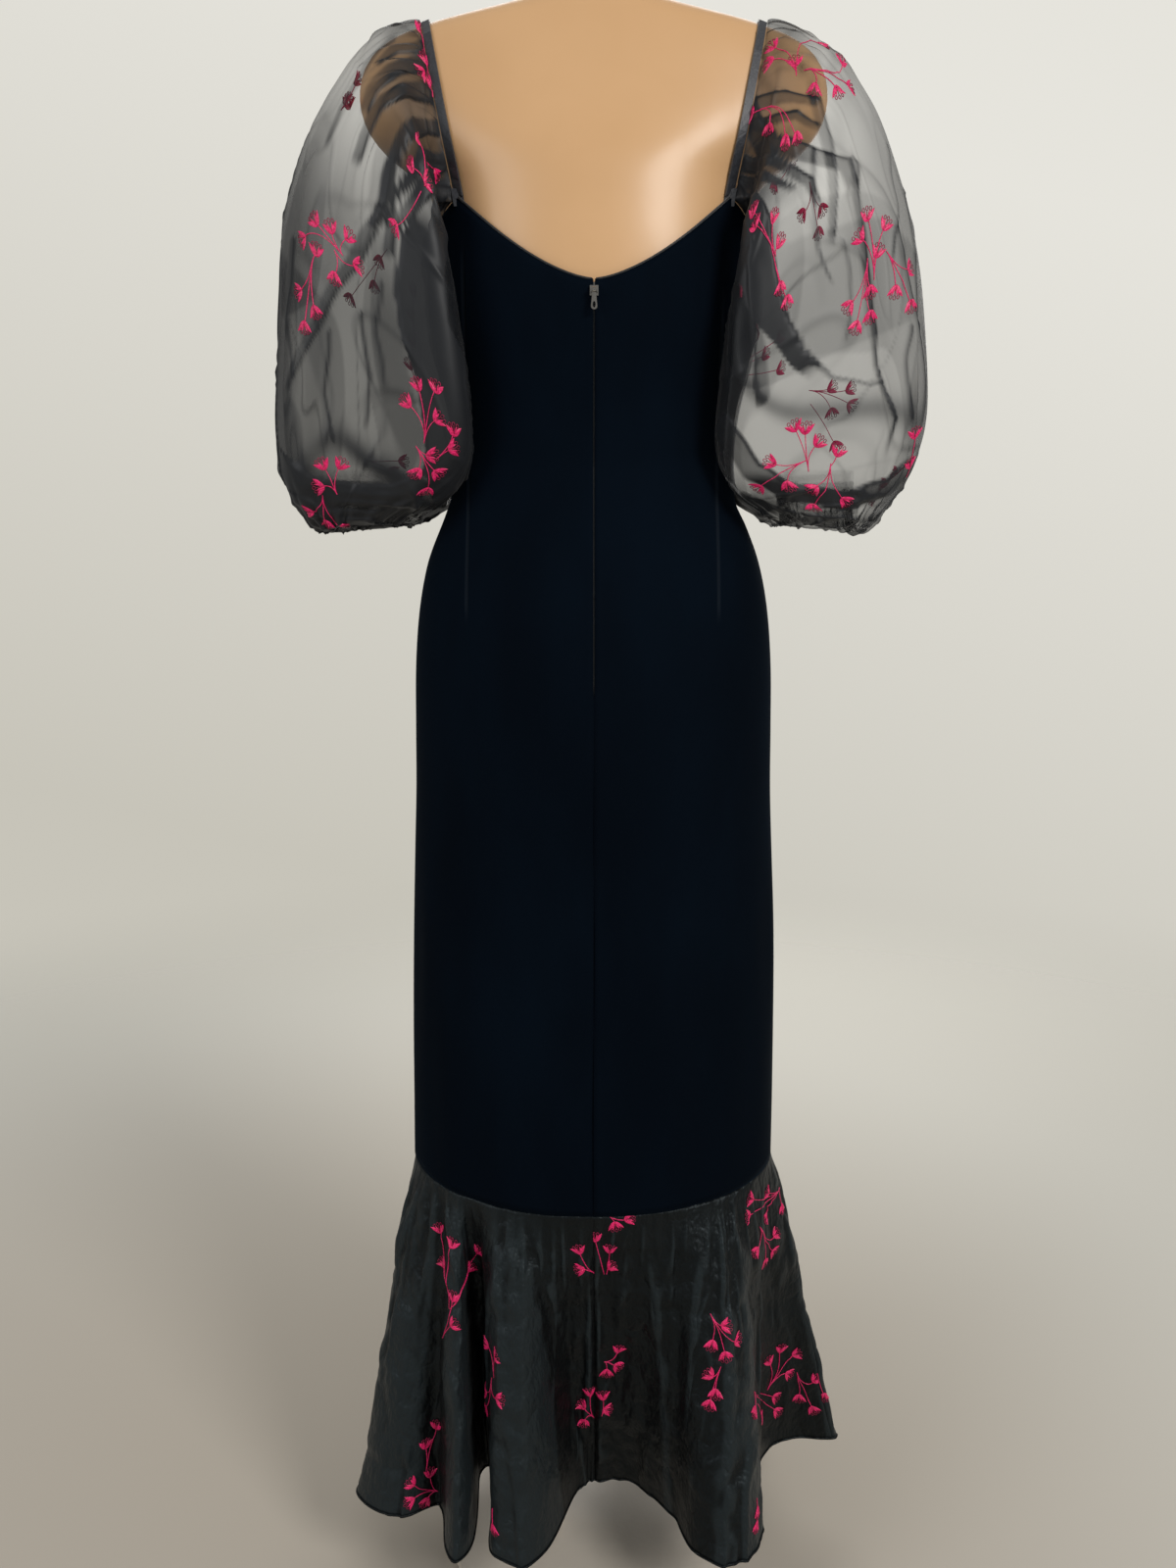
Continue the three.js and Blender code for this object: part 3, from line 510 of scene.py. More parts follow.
def plastic_finish():
    f = Finish("torso_plastic")
    mottle = f.noise(5.0, 4.0)
    scuff = f.noise(60.0, 4.0, f.stretched(1.0, 1.0, 0.3))
    colour = f.blend(mottle.rise(0.3, 0.7), (0.640, 0.383, 0.190, 1), (0.700, 0.428, 0.222, 1))
    f.set(Base_Color=colour, Roughness=0.36 + scuff.rise(0.45, 0.8) * 0.06)
    f.set(Normal=f.bump(mottle, 0.004, 0.10), Coat_Weight=0.10, Coat_Roughness=0.2, Specular_IOR_Level=0.35)
    return f.material


def metal_finish(name, colour, roughness):
    f = Finish(name)
    brushed = f.noise(400.0, 3.0, f.stretched(1.0, 1.0, 0.06))
    f.set(Base_Color=(*colour, 1), Metallic=1.0, Roughness=roughness + brushed * 0.16)
    return f.material


def paint_finish():
    f = Finish("plate_paint")
    peel = f.noise(260.0, 2.0)
    dust = f.noise(18.0, 5.0)
    colour = f.blend(dust.rise(0.45, 0.8), (0.60, 0.54, 0.46, 1), (0.54, 0.485, 0.41, 1))
    f.set(Base_Color=colour, Roughness=0.38 + dust * 0.2, Normal=f.bump(peel, 0.0004, 0.3))
    return f.material


velvet = velvet_finish()
flounce_cloth = flounce_finish()
organza = organza_finish()
cuff_cloth = organza_finish("cuff_organza", 0.03, 0.08)
strap_satin = satin_finish("strap_satin", (0.010, 0.012, 0.017), (0.024, 0.027, 0.036), 0.42)
edge_satin = satin_finish("neck_edge", (0.006, 0.007, 0.009), (0.018, 0.017, 0.018), 0.6)
zip_cloth = satin_finish("zip_cloth", (0.006, 0.008, 0.012), (0.016, 0.020, 0.027), 0.55)
petal_thread = satin_finish("petal_thread", (0.56, 0.004, 0.085), (0.92, 0.014, 0.175), 0.45, 0.04)
lace_thread = satin_finish("lace_thread", (0.20, 0.003, 0.036), (0.40, 0.007, 0.078), 0.5, 0.03)
torso_plastic = plastic_finish()
nickel = metal_finish("zip_metal", (0.34, 0.33, 0.31), 0.16)
pole_steel = metal_finish("pole_steel", (0.56, 0.56, 0.56), 0.28)
plate_paint = paint_finish()

# The torso
def torso_skin(columns=112):
    """Rings of points from the neck down, closed by fans at the top and under the hip"""
    heights = np.concatenate([np.linspace(1530, 1440, 40), np.linspace(1437, 727.5, 84), [726]])
    angles = np.linspace(0, TURN, columns, endpoint=False)
    grid = skin(torso_curve, heights[:, None], angles[None, :], 0)
    points = np.vstack([grid.reshape(-1, 3), [[0, 0, heights[0]], [0, 0, heights[-1]]]])
    faces = grid_faces(len(heights), columns, True).tolist()
    top = len(heights) * columns
    last = top - columns
    for i in range(columns):
        k = (i + 1) % columns
        faces.append([top, i, k])
        faces.append([top + 1, last + k, last + i])
    return mesh_object("torso_skin", points, faces, torso_plastic)


torso = torso_skin()
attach(torso, "dress")
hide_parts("torso")


# Velvet panels
def outward(angle):
    """The level direction that points away from the body's axis"""
    return np.stack([np.sin(angle), -np.cos(angle), np.zeros(angle.shape)], -1)


def velvet_panel(name, from_angle, to_angle, columns, rows=124):
    """A panel between two seams, given as angles. At the centre back it stays clear of the zip."""
    u = np.linspace(0, 1, columns)[None, :]
    v = np.linspace(0, 1, rows)[:, None]
    rough = mix(from_angle, to_angle, u)
    z = mix(top_edge_z(rough), seam_z(rough) + 0.15, v)
    half = dress_curve(z, 1) + VELVET
    zip_edge = np.arcsin(ZIP_EDGE * smooth((z - ZIP_BOTTOM_Z - 1) / 10) / half)
    low = from_angle or zip_edge
    high = TURN - zip_edge if to_angle == TURN else to_angle
    angle = mix(low, high, u) + np.zeros_like(z)
    near_waist = np.exp(-(((z - WAIST_Z) / 55) ** 2))
    at_side = 0.4 + 1.4 * np.abs(np.sin(angle)) ** 6
    drag = unevenness(angle * 1.3, z * 0.055 + np.abs(angle - math.pi) * 1.1, 11) * near_waist * at_side
    hang = unevenness(angle * 5.0, z * 0.006, 12) * smooth((HIP_Z - z) / 250)
    roll = np.exp(-((v * (z[:1] - z[-1:])) / 5.0) ** 2)
    from_back = np.minimum(np.abs(angle), TURN - angle) * half
    lap = np.exp(-((from_back / 4.0) ** 2)) * smooth((z - HIP_Z - 20) / 30)
    away = 0.35 + 1.5 * drag + 1.6 * hang - 0.8 * roll + 0.9 * lap
    return Cloth(name, skin(dress_curve, z, angle, VELVET) + outward(angle) * away[..., None], False)


QUARTER = math.pi / 2
SIDE_GAP = 0.0015
panels = {
    "back_right": (velvet_panel("back_right_velvet", 0, QUARTER - SIDE_GAP, 56), (0.27, 0.90), 0.183),
    "front": (
        velvet_panel("front_velvet", QUARTER + SIDE_GAP, 3 * QUARTER - SIDE_GAP, 104), (0.50, 0.88), 0.357
    ),
    "back_left": (velvet_panel("back_left_velvet", 3 * QUARTER + SIDE_GAP, TURN, 56), (0.27, 0.90), 0.183),
}
for node, (cloth, flat, area) in panels.items():
    piece = cloth.shape(velvet, VELVET)
    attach(piece, "dress")
    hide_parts(node)


# Threads, cords and small edges
class Threads:
    """Collects cords and satin shapes, and makes one mesh of them"""

    def __init__(self):
        self.points, self.faces, self.count = [], [], 0

    def add(self, points, faces):
        self.points.append(np.asarray(points).reshape(-1, 3))
        self.faces.extend((np.asarray(faces) + self.count).tolist())
        self.count += len(self.points[-1])

    def cord(self, line, normal, radius, closed=False, sides=4):
        """A cord along a line"""
        line = np.asarray(line, float)
        along = (np.roll(line, -1, 0) - np.roll(line, 1, 0)) if closed else np.gradient(line, axis=0)
        along /= np.maximum(np.linalg.norm(along, axis=1, keepdims=True), 1e-9)
        aside = np.cross(along, normal)
        aside /= np.maximum(np.linalg.norm(aside, axis=1, keepdims=True), 1e-9)
        up = np.cross(aside, along)
        turns = (np.arange(sides) + 0.5) / sides * TURN
        round_it = np.cos(turns)[:, None] * aside[:, None] + np.sin(turns)[:, None] * up[:, None]
        rings = line[:, None] + radius * round_it
        faces = grid_faces(len(line), sides, True)
        if closed:
            i = np.arange(sides)
            end = (len(line) - 1) * sides
            faces = np.vstack([faces, np.stack([end + i, i, (i + 1) % sides, end + (i + 1) % sides], -1)])
        self.add(rings, faces)

    def shape(self, name, material, slot):
        obj = mesh_object(name, np.vstack(self.points), self.faces, material)
        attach(obj, "dress")


def neck_edge(name, from_angle, to_angle, count):
    """The rolled edge of the neckline, 0.1 mm over the velvet and 0.6 mm behind its outside"""
    angle = np.linspace(from_angle, to_angle, count)
    z = top_edge_z(angle) + 0.1
    line = skin(dress_curve, np.minimum(z, 1330), angle, VELVET - 0.6)
    line[:, 2] = z
    threads = Threads()
    threads.cord(line, outward(angle), 0.9, sides=6)
    threads.shape(name, edge_satin, "strap_satin")


corner_angle = math.asin(CORNER_X / NECK_HALF)
start = math.asin(ZIP_GAP_HALF / NECK_HALF)
neck_edge("neck_edge_back_right", start, corner_angle, 90)
neck_edge("neck_edge_back_left", TURN - corner_angle, TURN - start, 90)
neck_edge("neck_edge_front", math.pi - corner_angle, math.pi + corner_angle, 160)


# Sleeves
def strap_point(turned, offset, aside):
    """Points of the torso under a shoulder strap, on rays from inside the shoulder"""
    lean = (STRAP_TOP[0] - CORNER_X) / (STRAP_TOP[1] - CORNER_Z)

    def at(reach):
        z = STRAP_CENTRE_Z + reach * np.sin(turned)
        return np.stack([CORNER_X + (z - CORNER_Z) * lean + aside, -reach * np.cos(turned), z], -1)

    low, high = np.full(len(turned), 10.0), np.full(len(turned), 140.0)
    for _ in range(30):
        middle = (low + high) / 2
        inside = share_out(torso_curve, at(middle), 0) < 1
        low, high = np.where(inside, middle, low), np.where(inside, high, middle)
    return at(low + offset)


def strap_line(v, aside):
    ends = []
    for front in (False, True):
        corner = skin(dress_curve, np.array(CORNER_Z), math.pi - corner_angle if front else corner_angle, 0)
        ends.append(math.atan2(CORNER_Z + 2.3 - STRAP_CENTRE_Z, abs(corner[1])))
    near_end = np.minimum(v, 1 - v)
    offset = mix(EASE + 0.7, 1.8, smooth(near_end / 0.22)) + 1.8
    return strap_point(mix(ends[0], math.pi - ends[1], v), offset, aside)


def armhole_points(count):
    beside = STRAP_WIDE / 2 + 0.9
    near = strap_line(np.linspace(0.5, 0.02, 60), beside)
    angle = np.linspace(corner_angle + 0.04, math.pi - corner_angle - 0.04, 60)
    under = skin(dress_curve, top_edge_z(angle) + 1.4, angle, 1.0)
    far = strap_line(np.linspace(0.98, 0.5, 60), beside)
    loop = np.vstack([near, under, far])
    length = np.concatenate([[0], np.cumsum(np.linalg.norm(np.diff(loop, axis=0), axis=1))])
    at = np.arange(count) / count * length[-1]
    return np.stack([np.interp(at, length, loop[:, k]) for k in range(3)], -1)


def lapped(points, normals, line, widths, height, layers, seed):
    """A charted fold: how far it lifts the cloth and how much cloth lies double beside its line"""
    line = np.array(line, float)
    x, z = points[..., 0], points[..., 2]
    ends = np.concatenate([[0], np.cumsum(np.hypot(*np.diff(line, axis=0).T))])
    nearest = np.full(x.shape, 1e9)
    aside, place = np.zeros(x.shape), np.zeros(x.shape)
    for i in range(len(line) - 1):
        step = line[i + 1] - line[i]
        length = math.hypot(*step)
        t = np.clip(((x - line[i, 0]) * step[0] + (z - line[i, 1]) * step[1]) / length**2, 0, 1)
        dx, dz = x - line[i, 0] - t * step[0], z - line[i, 1] - t * step[1]
        distance = np.hypot(dx, dz)
        closer = distance < nearest
        side = np.where(dx * step[1] - dz * step[0] > 0, 1, -1)
        nearest = np.where(closer, distance, nearest)
        aside = np.where(closer, distance * side, aside)
        place = np.where(closer, (ends[i] + t * length) / ends[-1], place)
    aside = aside + 2.4 * unevenness(x / 24 + 40, z / 24 + 40, seed)
    width = mix(widths[0], widths[1], place)
    near_side = smooth(-normals[..., 1] * 4)
    reach = near_side * smooth((1 - place) / 0.12 + 0.1)
    lift = 0.42 * height * smooth((aside + 1.1) / 2.2) * (1 - smooth(aside / (width * 1.7 + 3))) * reach
    border = 1.0 + 0.8 * np.exp(-((aside / 1.9) ** 2))
    beside = smooth((aside + 2.2) / 3.2) * (1 - smooth((aside - width) / 3.6 + 0.5))
    return lift, layers * border * beside * reach


def between_ends(v):
    """1 along most of a sleeve, and 0 at its armhole and its cuff"""
    return smooth(v / 0.15) * smooth((1 - v) / 0.2)


def sleeve_form(sign, seed, u, v):
    """The puffed tube of a sleeve, round it by u and down it by v, and the gathers at its head"""
    table = [sleeve_curve(v, k) for k in range(1, 9)]
    out_x, out_z, in_x, in_z, near, far, folds, right_more = table
    c, s = np.cos(u * TURN), np.sin(u * TURN)
    power = 2 / SLEEVE_SQUARENESS
    along, aside = np.sign(c) * np.abs(c) ** power, np.sign(s) * np.abs(s) ** power
    bend = u + 0.02 * np.sin(v * 5 + seed) + 0.012 * unevenness(u * 6, v * 3, seed + 1, 6)
    large = np.sin(7 * TURN * bend + 1.3) * 0.6 + np.sin(4 * TURN * u + 0.4) * 0.5
    swell = unevenness(u * 8, v * 5, seed + 2, 8) * 5.0 + unevenness(u * 15, v * 9, seed + 12, 15) * 1.8
    head = np.sin(34 * TURN * (u + 0.012 * unevenness(u * 17, v * 6, seed + 4, 17)))
    head = head * smooth(v / 0.03) * (1 - smooth((v - 0.04) / 0.24))
    head = head * (0.7 + 0.5 * unevenness(u * 11, v * 3, seed + 8, 11))
    wrist = np.sin(30 * TURN * (u + 0.012 * unevenness(u * 15, v * 6, seed + 5, 15)))
    wrist = wrist * smooth((v - 0.62) / 0.2) * smooth((0.985 - v) / 0.05)
    ripple = folds * large * 0.8 + swell * between_ends(v) + 1.8 * head + 2.2 * wrist
    more = right_more if sign > 0 else 0
    half_x, half_z = (out_x + more - in_x) / 2, (out_z - in_z) / 2
    half = np.hypot(half_x, half_z)
    from_inner = np.minimum(np.abs(0.5 - u) / 0.36, 1)
    lap = np.where(s > 0, *SLEEVE_LAP) * np.abs(np.sin(math.pi * from_inner)) ** 1.5
    lap = lap * smooth((v - 0.02) / 0.18) * smooth((0.8 - v) / 0.25)
    sunk, place = SLACK[sign]
    slack = sunk * np.exp(-(((v - place) / 0.12) ** 2)) * smooth(along * 1.4)
    reach = along * (1 + ripple / half) - slack / half
    loop = np.stack([
        in_x + half_x + half_x * reach - lap,
        -np.where(s > 0, near, far) * aside * (1 + ripple / near),
        in_z + half_z + half_z * reach,
    ], -1)
    share = smooth(v / SEAM_BLEND)[..., None]
    points = mix(armhole_points(u.shape[1])[None], loop, share)
    points[..., 2] += 2.4 * head * (1 - share[..., 0])
    points[..., 0] *= sign
    return points, head


def sleeve_layers(points, head, density_and_painted_shade, seed, u, v):
    """How far the small folds of a sleeve stand out, and how much more cloth lies over each of its points,
    with painted shade added on the left sleeve
    """
    drift = 0.6 * unevenness(u * 7, v * 5, seed + 6, 7)
    long_folds = creases(u * 10 + drift, v * 2.6, seed + 7, 10, 0.05)
    veins = creases(u * 7 + 0.5 * unevenness(u * 9, v * 4, seed + 13, 9), v * 4.4, seed + 14, 7, 0.028)
    short_folds = creases(u * 21 + unevenness(u * 9, v * 9, seed + 9, 9), v * 8, seed + 3, 21, 0.09)
    crushed = creases(u * 12, v * 26, seed + 11, 12, 0.2) * smooth((v - 0.6) / 0.1) * smooth((0.95 - v) / 0.1)
    patch = unevenness(u * 7 + drift, v * 3.6, seed + 10, 7)
    small_patch = unevenness(u * 9 + drift, v * 5, seed + 15, 9)
    layer = smooth((patch - 0.12) / 0.05) + 0.8 * smooth((small_patch - 0.2) / 0.04)
    lift = (2.4 * long_folds + 1.5 * veins + 1.0 * short_folds + 1.8 * crushed) * between_ends(v)
    lower = smooth((v - 0.2) / 0.2)
    strong = np.clip(0.7 + 0.6 * patch, 0.15, 1.3) * (0.5 + 0.5 * lower)
    # Extra cover low on the sleeve; on the left sleeve its higher value is painted shade that darkens it
    folds_and_painted_light = 0.05 + density_and_painted_shade * lower + (1.1 * long_folds + 1.3 * veins + 0.4 * short_folds) * strong
    folds_and_painted_light = folds_and_painted_light + 0.62 * layer * (0.15 + 0.85 * lower) + 0.10 * patch + 0.6 * crushed
    x, z = np.abs(points[..., 0]), points[..., 2]
    over_torso = smooth((188 - x) / 24) * smooth((z - 1285) / 30)
    at_wrist = smooth((1088 - z) / 18) * (0.55 + 0.6 * unevenness(u * 16, v * 20, seed + 16, 16))
    at_seam = (1 - smooth(v / 0.06)) * (1.1 + 0.9 * head)
    at_corner = np.exp(-((np.hypot(x - 120, z - 1308) / 36) ** 2))
    in_cuff = smooth((v - 0.86) / 0.05)
    return lift, folds_and_painted_light + 0.85 * over_torso + at_wrist + at_seam + 2.0 * at_corner - 1.3 * in_cuff


def sleeve_cloth(name, sign, fold_lines, density_and_painted_shade, seed, columns=396, rows=249):
    u = (np.arange(columns) / columns)[None, :]
    v = np.linspace(0, 1, rows)[:, None] * np.ones_like(u)
    points, head = sleeve_form(sign, seed, u, v)
    normals = normals_of(points, True) * -sign
    lift, folds_and_painted_light = sleeve_layers(points, head, density_and_painted_shade, seed, u, v)
    for number, fold in enumerate(fold_lines):
        more_lift, double = lapped(points, normals, *fold, seed + 20 + number)
        lift = lift + more_lift * smooth(v / 0.06)
        folds_and_painted_light = folds_and_painted_light + double
    points = points + normals * lift[..., None]
    start = smooth(v / 0.09)
    low = share_out(dress_curve, points, mix(1.0, SLEEVE_CLEAR, start))
    high = share_out(torso_curve, points, mix(1.2, 6, start))
    out = np.where(points[..., 2] < SHOULDER_Z, low, high)
    points[..., :2] *= np.where(out < 1, 1 / out, 1)[..., None]
    return Cloth(name, points, True, -sign, np.clip(folds_and_painted_light, -0.8, 3.1))


# Folds of the sleeves' near sides: a line of places x and z, the width of the cloth lying double on the
# line's right-hand side at its start and end, how far it stands out, and its layers
LEFT_FOLDS = [
    ([(-132, 1381), (-152, 1378), (-169, 1362), (-182, 1343), (-192, 1320)], (16, 7), 4.5, 1.5),
    ([(-137, 1408), (-158, 1394), (-173, 1378), (-183, 1359)], (18, 8), 4, 1.3),
    ([(-127, 1355), (-138, 1355), (-149, 1337), (-158, 1319), (-166, 1299), (-176, 1271)], (14, 8), 5, 1.5),
    ([(-176, 1271), (-203, 1235), (-244, 1179), (-259, 1143)], (13, 5), 3.5, 0.9),
    ([(-124, 1336), (-135, 1334), (-139, 1318)], (8, 4), 3, 1.2),
    ([(-125, 1307), (-141, 1289), (-157, 1276), (-168, 1249)], (15, 8), 4, 1.2),
    (
        [(-142, 1083), (-143, 1117), (-148, 1158), (-158, 1193), (-162, 1232), (-155, 1268), (-141, 1293)],
        (46, 34), 3, 2.3,
    ),
    ([(-263, 1097), (-241, 1078), (-207, 1072), (-173, 1074), (-139, 1088)], (15, 13), 3.5, 1.3),
    ([(-256, 1066), (-232, 1051), (-193, 1053), (-152, 1064)], (9, 7), 3, 1.0),
    ([(-218, 1194), (-226, 1148), (-219, 1106)], (3, 2), 2.5, 0.7),
    ([(-189, 1208), (-185, 1162), (-195, 1116)], (3, 2), 2.5, 0.7),
    ([(-249, 1271), (-257, 1213), (-249, 1155)], (5, 3), 3, 0.7),
    ([(-165, 1431), (-184, 1403), (-204, 1370), (-216, 1335)], (6, 4), 3, 0.9),
    ([(-143, 1426), (-161, 1418), (-175, 1401)], (10, 6), 3.5, 1.2),
    ([(-130, 1326), (-143, 1310), (-158, 1294), (-170, 1274)], (12, 6), 4, 1.4),
    ([(-173, 1231), (-179, 1195), (-173, 1147)], (4, 3), 2.5, 0.6),
]
RIGHT_FOLDS = [
    ([(140, 1368), (165, 1368), (184, 1354)], (10, 5), 4, 1.4),
    ([(128, 1341), (152, 1327), (176, 1313), (188, 1291)], (12, 6), 4, 1.3),
    ([(118, 1309), (124, 1281), (129, 1261)], (16, 10), 3, 1.4),
    (
        [(122, 1326), (131, 1302), (142, 1281), (145, 1252), (149, 1226), (159, 1205), (176, 1179),
         (189, 1162)],
        (44, 14), 5, 2.3,
    ),
    ([(176, 1179), (198, 1160), (229, 1156), (245, 1161)], (5, 2), 3, 0.8),
    ([(134, 1390), (148, 1347), (180, 1336), (205, 1327), (215, 1301)], (20, 8), 4.5, 1.4),
    ([(183, 1376), (193, 1337), (199, 1300), (195, 1260)], (11, 5), 4, 1.2),
    ([(211, 1326), (221, 1274), (228, 1225), (238, 1171), (256, 1128), (251, 1093)], (6, 3), 4, 1.1),
    ([(178, 1334), (179, 1301), (183, 1260), (196, 1230)], (4, 2), 3, 0.8),
    ([(121, 1119), (140, 1089), (173, 1074), (214, 1068), (254, 1077), (273, 1101)], (16, 12), 4, 1.4),
    ([(138, 1066), (166, 1053), (201, 1049), (234, 1057)], (8, 6), 3, 1.0),
    ([(135, 1387), (154, 1386), (184, 1375)], (12, 6), 4, 1.2),
    ([(123, 1326), (146, 1315), (165, 1306)], (8, 5), 3.5, 1.2),
    ([(266, 1314), (270, 1262), (271, 1208)], (4, 3), 3, 0.8),
    ([(245, 1350), (250, 1297), (247, 1249)], (4, 2), 2.5, 0.7),
    ([(264, 1201), (263, 1157), (269, 1125)], (4, 3), 3, 0.8),
    ([(203, 1266), (213, 1224), (207, 1186)], (3, 2), 2.5, 0.5),
    ([(134, 1146), (128, 1200), (124, 1253)], (10, 8), 3, 0.9),
]

# The left sleeve is given much more cover than the right: painted shade that darkens the left sleeve
sleeves = {
    "left": sleeve_cloth("sleeve_left_organza", -1, LEFT_FOLDS, 1.10, 3),
    "right": sleeve_cloth("sleeve_right_organza", 1, RIGHT_FOLDS, 0.26, 23),
}
for name, cloth in sleeves.items():
    piece = cloth.shape(organza)
    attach(piece, "dress")
    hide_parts(f"sleeve_{name}")


# The ends of the straps, tucked behind the velvet's corners
ends = Threads()
for sign in (-1, 1):
    for place, corner in ((0.0, corner_angle), (1.0, math.pi - corner_angle)):
        top = strap_line(np.array([abs(place - 0.012)]), 0)[0]
        under = skin(dress_curve, np.array(CORNER_Z - 7.0), corner, 0.6)
        middle = (top + under) / 2
        half = np.array([STRAP_WIDE / 2 + 1.2, 0, 0])
        strip = [p + side * half for p in (top, middle, under) for side in (-1, 1)]
        ends.add(np.array(strip) * [sign, 1, 1], [[0, 1, 3, 2], [2, 3, 5, 4]])
ends.shape("strap_ends", strap_satin, "strap_satin")


# Flounce
def flounce_points(from_degrees, to_degrees, columns, rows=96):
    degrees = np.linspace(from_degrees, to_degrees, columns)[None, :]
    v = np.linspace(0, 1, rows)[:, None]
    angle = np.radians(degrees) + np.zeros_like(v)
    seam = skin(dress_curve, seam_z(angle) - 0.15, angle, VELVET - 0.4)
    hem = np.stack([hem_curve(degrees, 1), hem_curve(degrees, 2), np.full(degrees.shape, HEM_Z)], -1)[0]
    wander = unevenness(degrees * 0.1, v * 2.2, 31)
    below_seam = smooth(v / 0.12)
    soft = unevenness(degrees * 0.085, v * 1.1, 34) * smooth(v / 0.3)
    tucks = creases(degrees * 0.24 + 0.5 * wander, v * 1.3, 35, width=0.34)
    tucks = tucks * below_seam * (1 - smooth((v - 0.1) / 0.45))
    draws = creases(degrees * 0.12 + wander * 0.9, v * 1.8, 32, width=0.26) * smooth(v / 0.2)
    crush = creases(degrees * 0.2 + v * 3 + wander, v * 6, 33, width=0.30) * below_seam
    crumple = 3.2 * abs(unevenness(degrees * 0.12 + wander, v * 11, 36))
    crumple = crumple + 1.1 * abs(unevenness(degrees * 0.26, v * 24 + wander, 37))
    crumple = (crumple - 1.8) * smooth(v / 0.15)
    charted = 0
    for top, hem_end, start, height, wide in FLOUNCE_FOLDS:
        aside = (degrees - mix(top, hem_end, v) - 2.2 * wander + 540) % 360 - 180
        charted = charted + height * np.exp(-((aside / wide) ** 2)) * smooth((v - start) / 0.2)
    from_back = np.minimum(degrees, 360 - degrees)
    seam_line = -0.5 * np.exp(-((from_back / 0.5) ** 2)) * smooth(v / 0.05)
    away = 4.55 * soft + charted + 2.0 * tucks + 3.6 * draws + 1.5 * crush + crumple
    away = away * (1 - np.exp(-((from_back / 1.2) ** 2))) + seam_line
    return mix(seam, hem, v[..., None]) + outward(angle) * away[..., None]


def ridges(low, high, columns, beside=7):
    """How far each point of the flounce stands out from the cloth up to so many degrees beside it: 1 on a
    ridge and 0 in a hollow"""
    side = round(beside * (columns - 1) / (high - low))
    reach = side * (high - low) / (columns - 1)
    points = flounce_points(low - reach, high + reach, columns + 2 * side)
    out = np.hypot(points[..., 0], points[..., 1])
    sums = np.cumsum(out, axis=1)

    def mean(half):
        return (sums[:, side + half :][:, :columns] - sums[:, side - half :][:, :columns]) / (2 * half)

    broad, narrow, own = mean(side), mean(side // 4), out[:, side : side + columns]
    return np.clip(0.5 + (narrow - broad) / 7 + (own - narrow) / 2.5, 0, 1)


flounces = {}
hem_roll = Threads()
for node, low, high, columns, flat, area in (
    ("flounce_back_right", 0.0, 90.0, 220, (0.47, 0.42), 0.108),
    ("flounce_front", 90.0, 270.0, 250, (0.98, 0.48), 0.222),
    ("flounce_back_left", 270.0, 360.0, 270, (0.56, 0.42), 0.130),
):
    # The ridge measure sets the flounce's painted highlight on ridges and painted shade in hollows
    points, folds_and_painted_light = flounce_points(low, high, columns), ridges(low, high, columns)
    cloth = Cloth(f"{node}_cloth", points, False, folds_and_painted_light=folds_and_painted_light)
    flounces[node] = cloth
    piece = cloth.shape(flounce_cloth, 1.0)
    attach(piece, "dress")
    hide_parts(node)
    hem_roll.cord(cloth.points[-1] + [0, 0, 0.6], cloth.normals[-1], 1.25, sides=6)
hem_roll.shape("flounce_rolled_hem", flounce_cloth, "flounce")


# Embroidery
LEAF = np.linspace(0, 1, 7)


def satin_leaf(threads, cloth, anchor, place, line, wide, faces):
    """A leaf of satin stitch along a line: a low dome, pointed at both ends"""
    line = np.array(line, float)
    path = np.stack([np.interp(LEAF * (len(line) - 1), range(len(line)), line[:, k]) for k in (0, 1)], -1)
    way = np.gradient(path, axis=0)
    aside = np.stack([-way[:, 1], way[:, 0]], -1) / np.hypot(*way.T)[:, None]
    width = wide / 2 * np.sin(math.pi * LEAF) ** 0.7
    a, b = place(np.concatenate([path + aside * (width * k)[:, None] for k in (-1, 0, 1)]))
    for face in faces:
        points, _ = cloth.lay(anchor, a, b, np.repeat([0.35, 1.15, 0.35], len(LEAF)) * face)
        threads.add(points, grid_faces(3, len(LEAF), False))


def flower(petals, lace, cloth, anchor, heading, faces, size):
    """Two bright pointed petals that open in a V, with a crown of lace stitches between them"""
    c, s = math.cos(heading), math.sin(heading)
    lift = 0.5 if len(faces) == 1 else 0.0

    def place(p):
        p = np.asarray(p) * size
        return p[:, 0] * c + p[:, 1] * s, -p[:, 0] * s + p[:, 1] * c

    def stitch(line, radius, closed):
        a, b = place(line)
        points, normal = cloth.lay(anchor, a, b, np.full(len(line), lift))
        lace.cord(points, normal, radius * size, closed=closed, sides=3)

    for hand in (-1, 1):
        petal = [(0, -5.0), (2.8 * hand, -1.4), (8.0 * hand, 4.2)]
        inner = [(0.8 * hand, -3.0), (3.0 * hand, 4.0)]
        satin_leaf(petals, cloth, anchor, place, petal, 3.9, faces)
        satin_leaf(petals, cloth, anchor, place, inner, 1.7, faces)
    t = np.linspace(0, TURN, 7, endpoint=False)
    for lean in (-0.42, 0.0, 0.42):
        middle = np.array([math.sin(lean) * 9.4, -4 + math.cos(lean) * 9.4])
        stitch(np.stack([1.3 * np.sin(t), 1.7 * np.cos(t)], -1) + middle, 0.42, True)
    stitch(np.array([(0, -2.5), (0, 0.5), (0, 3.6)]), 0.42, False)


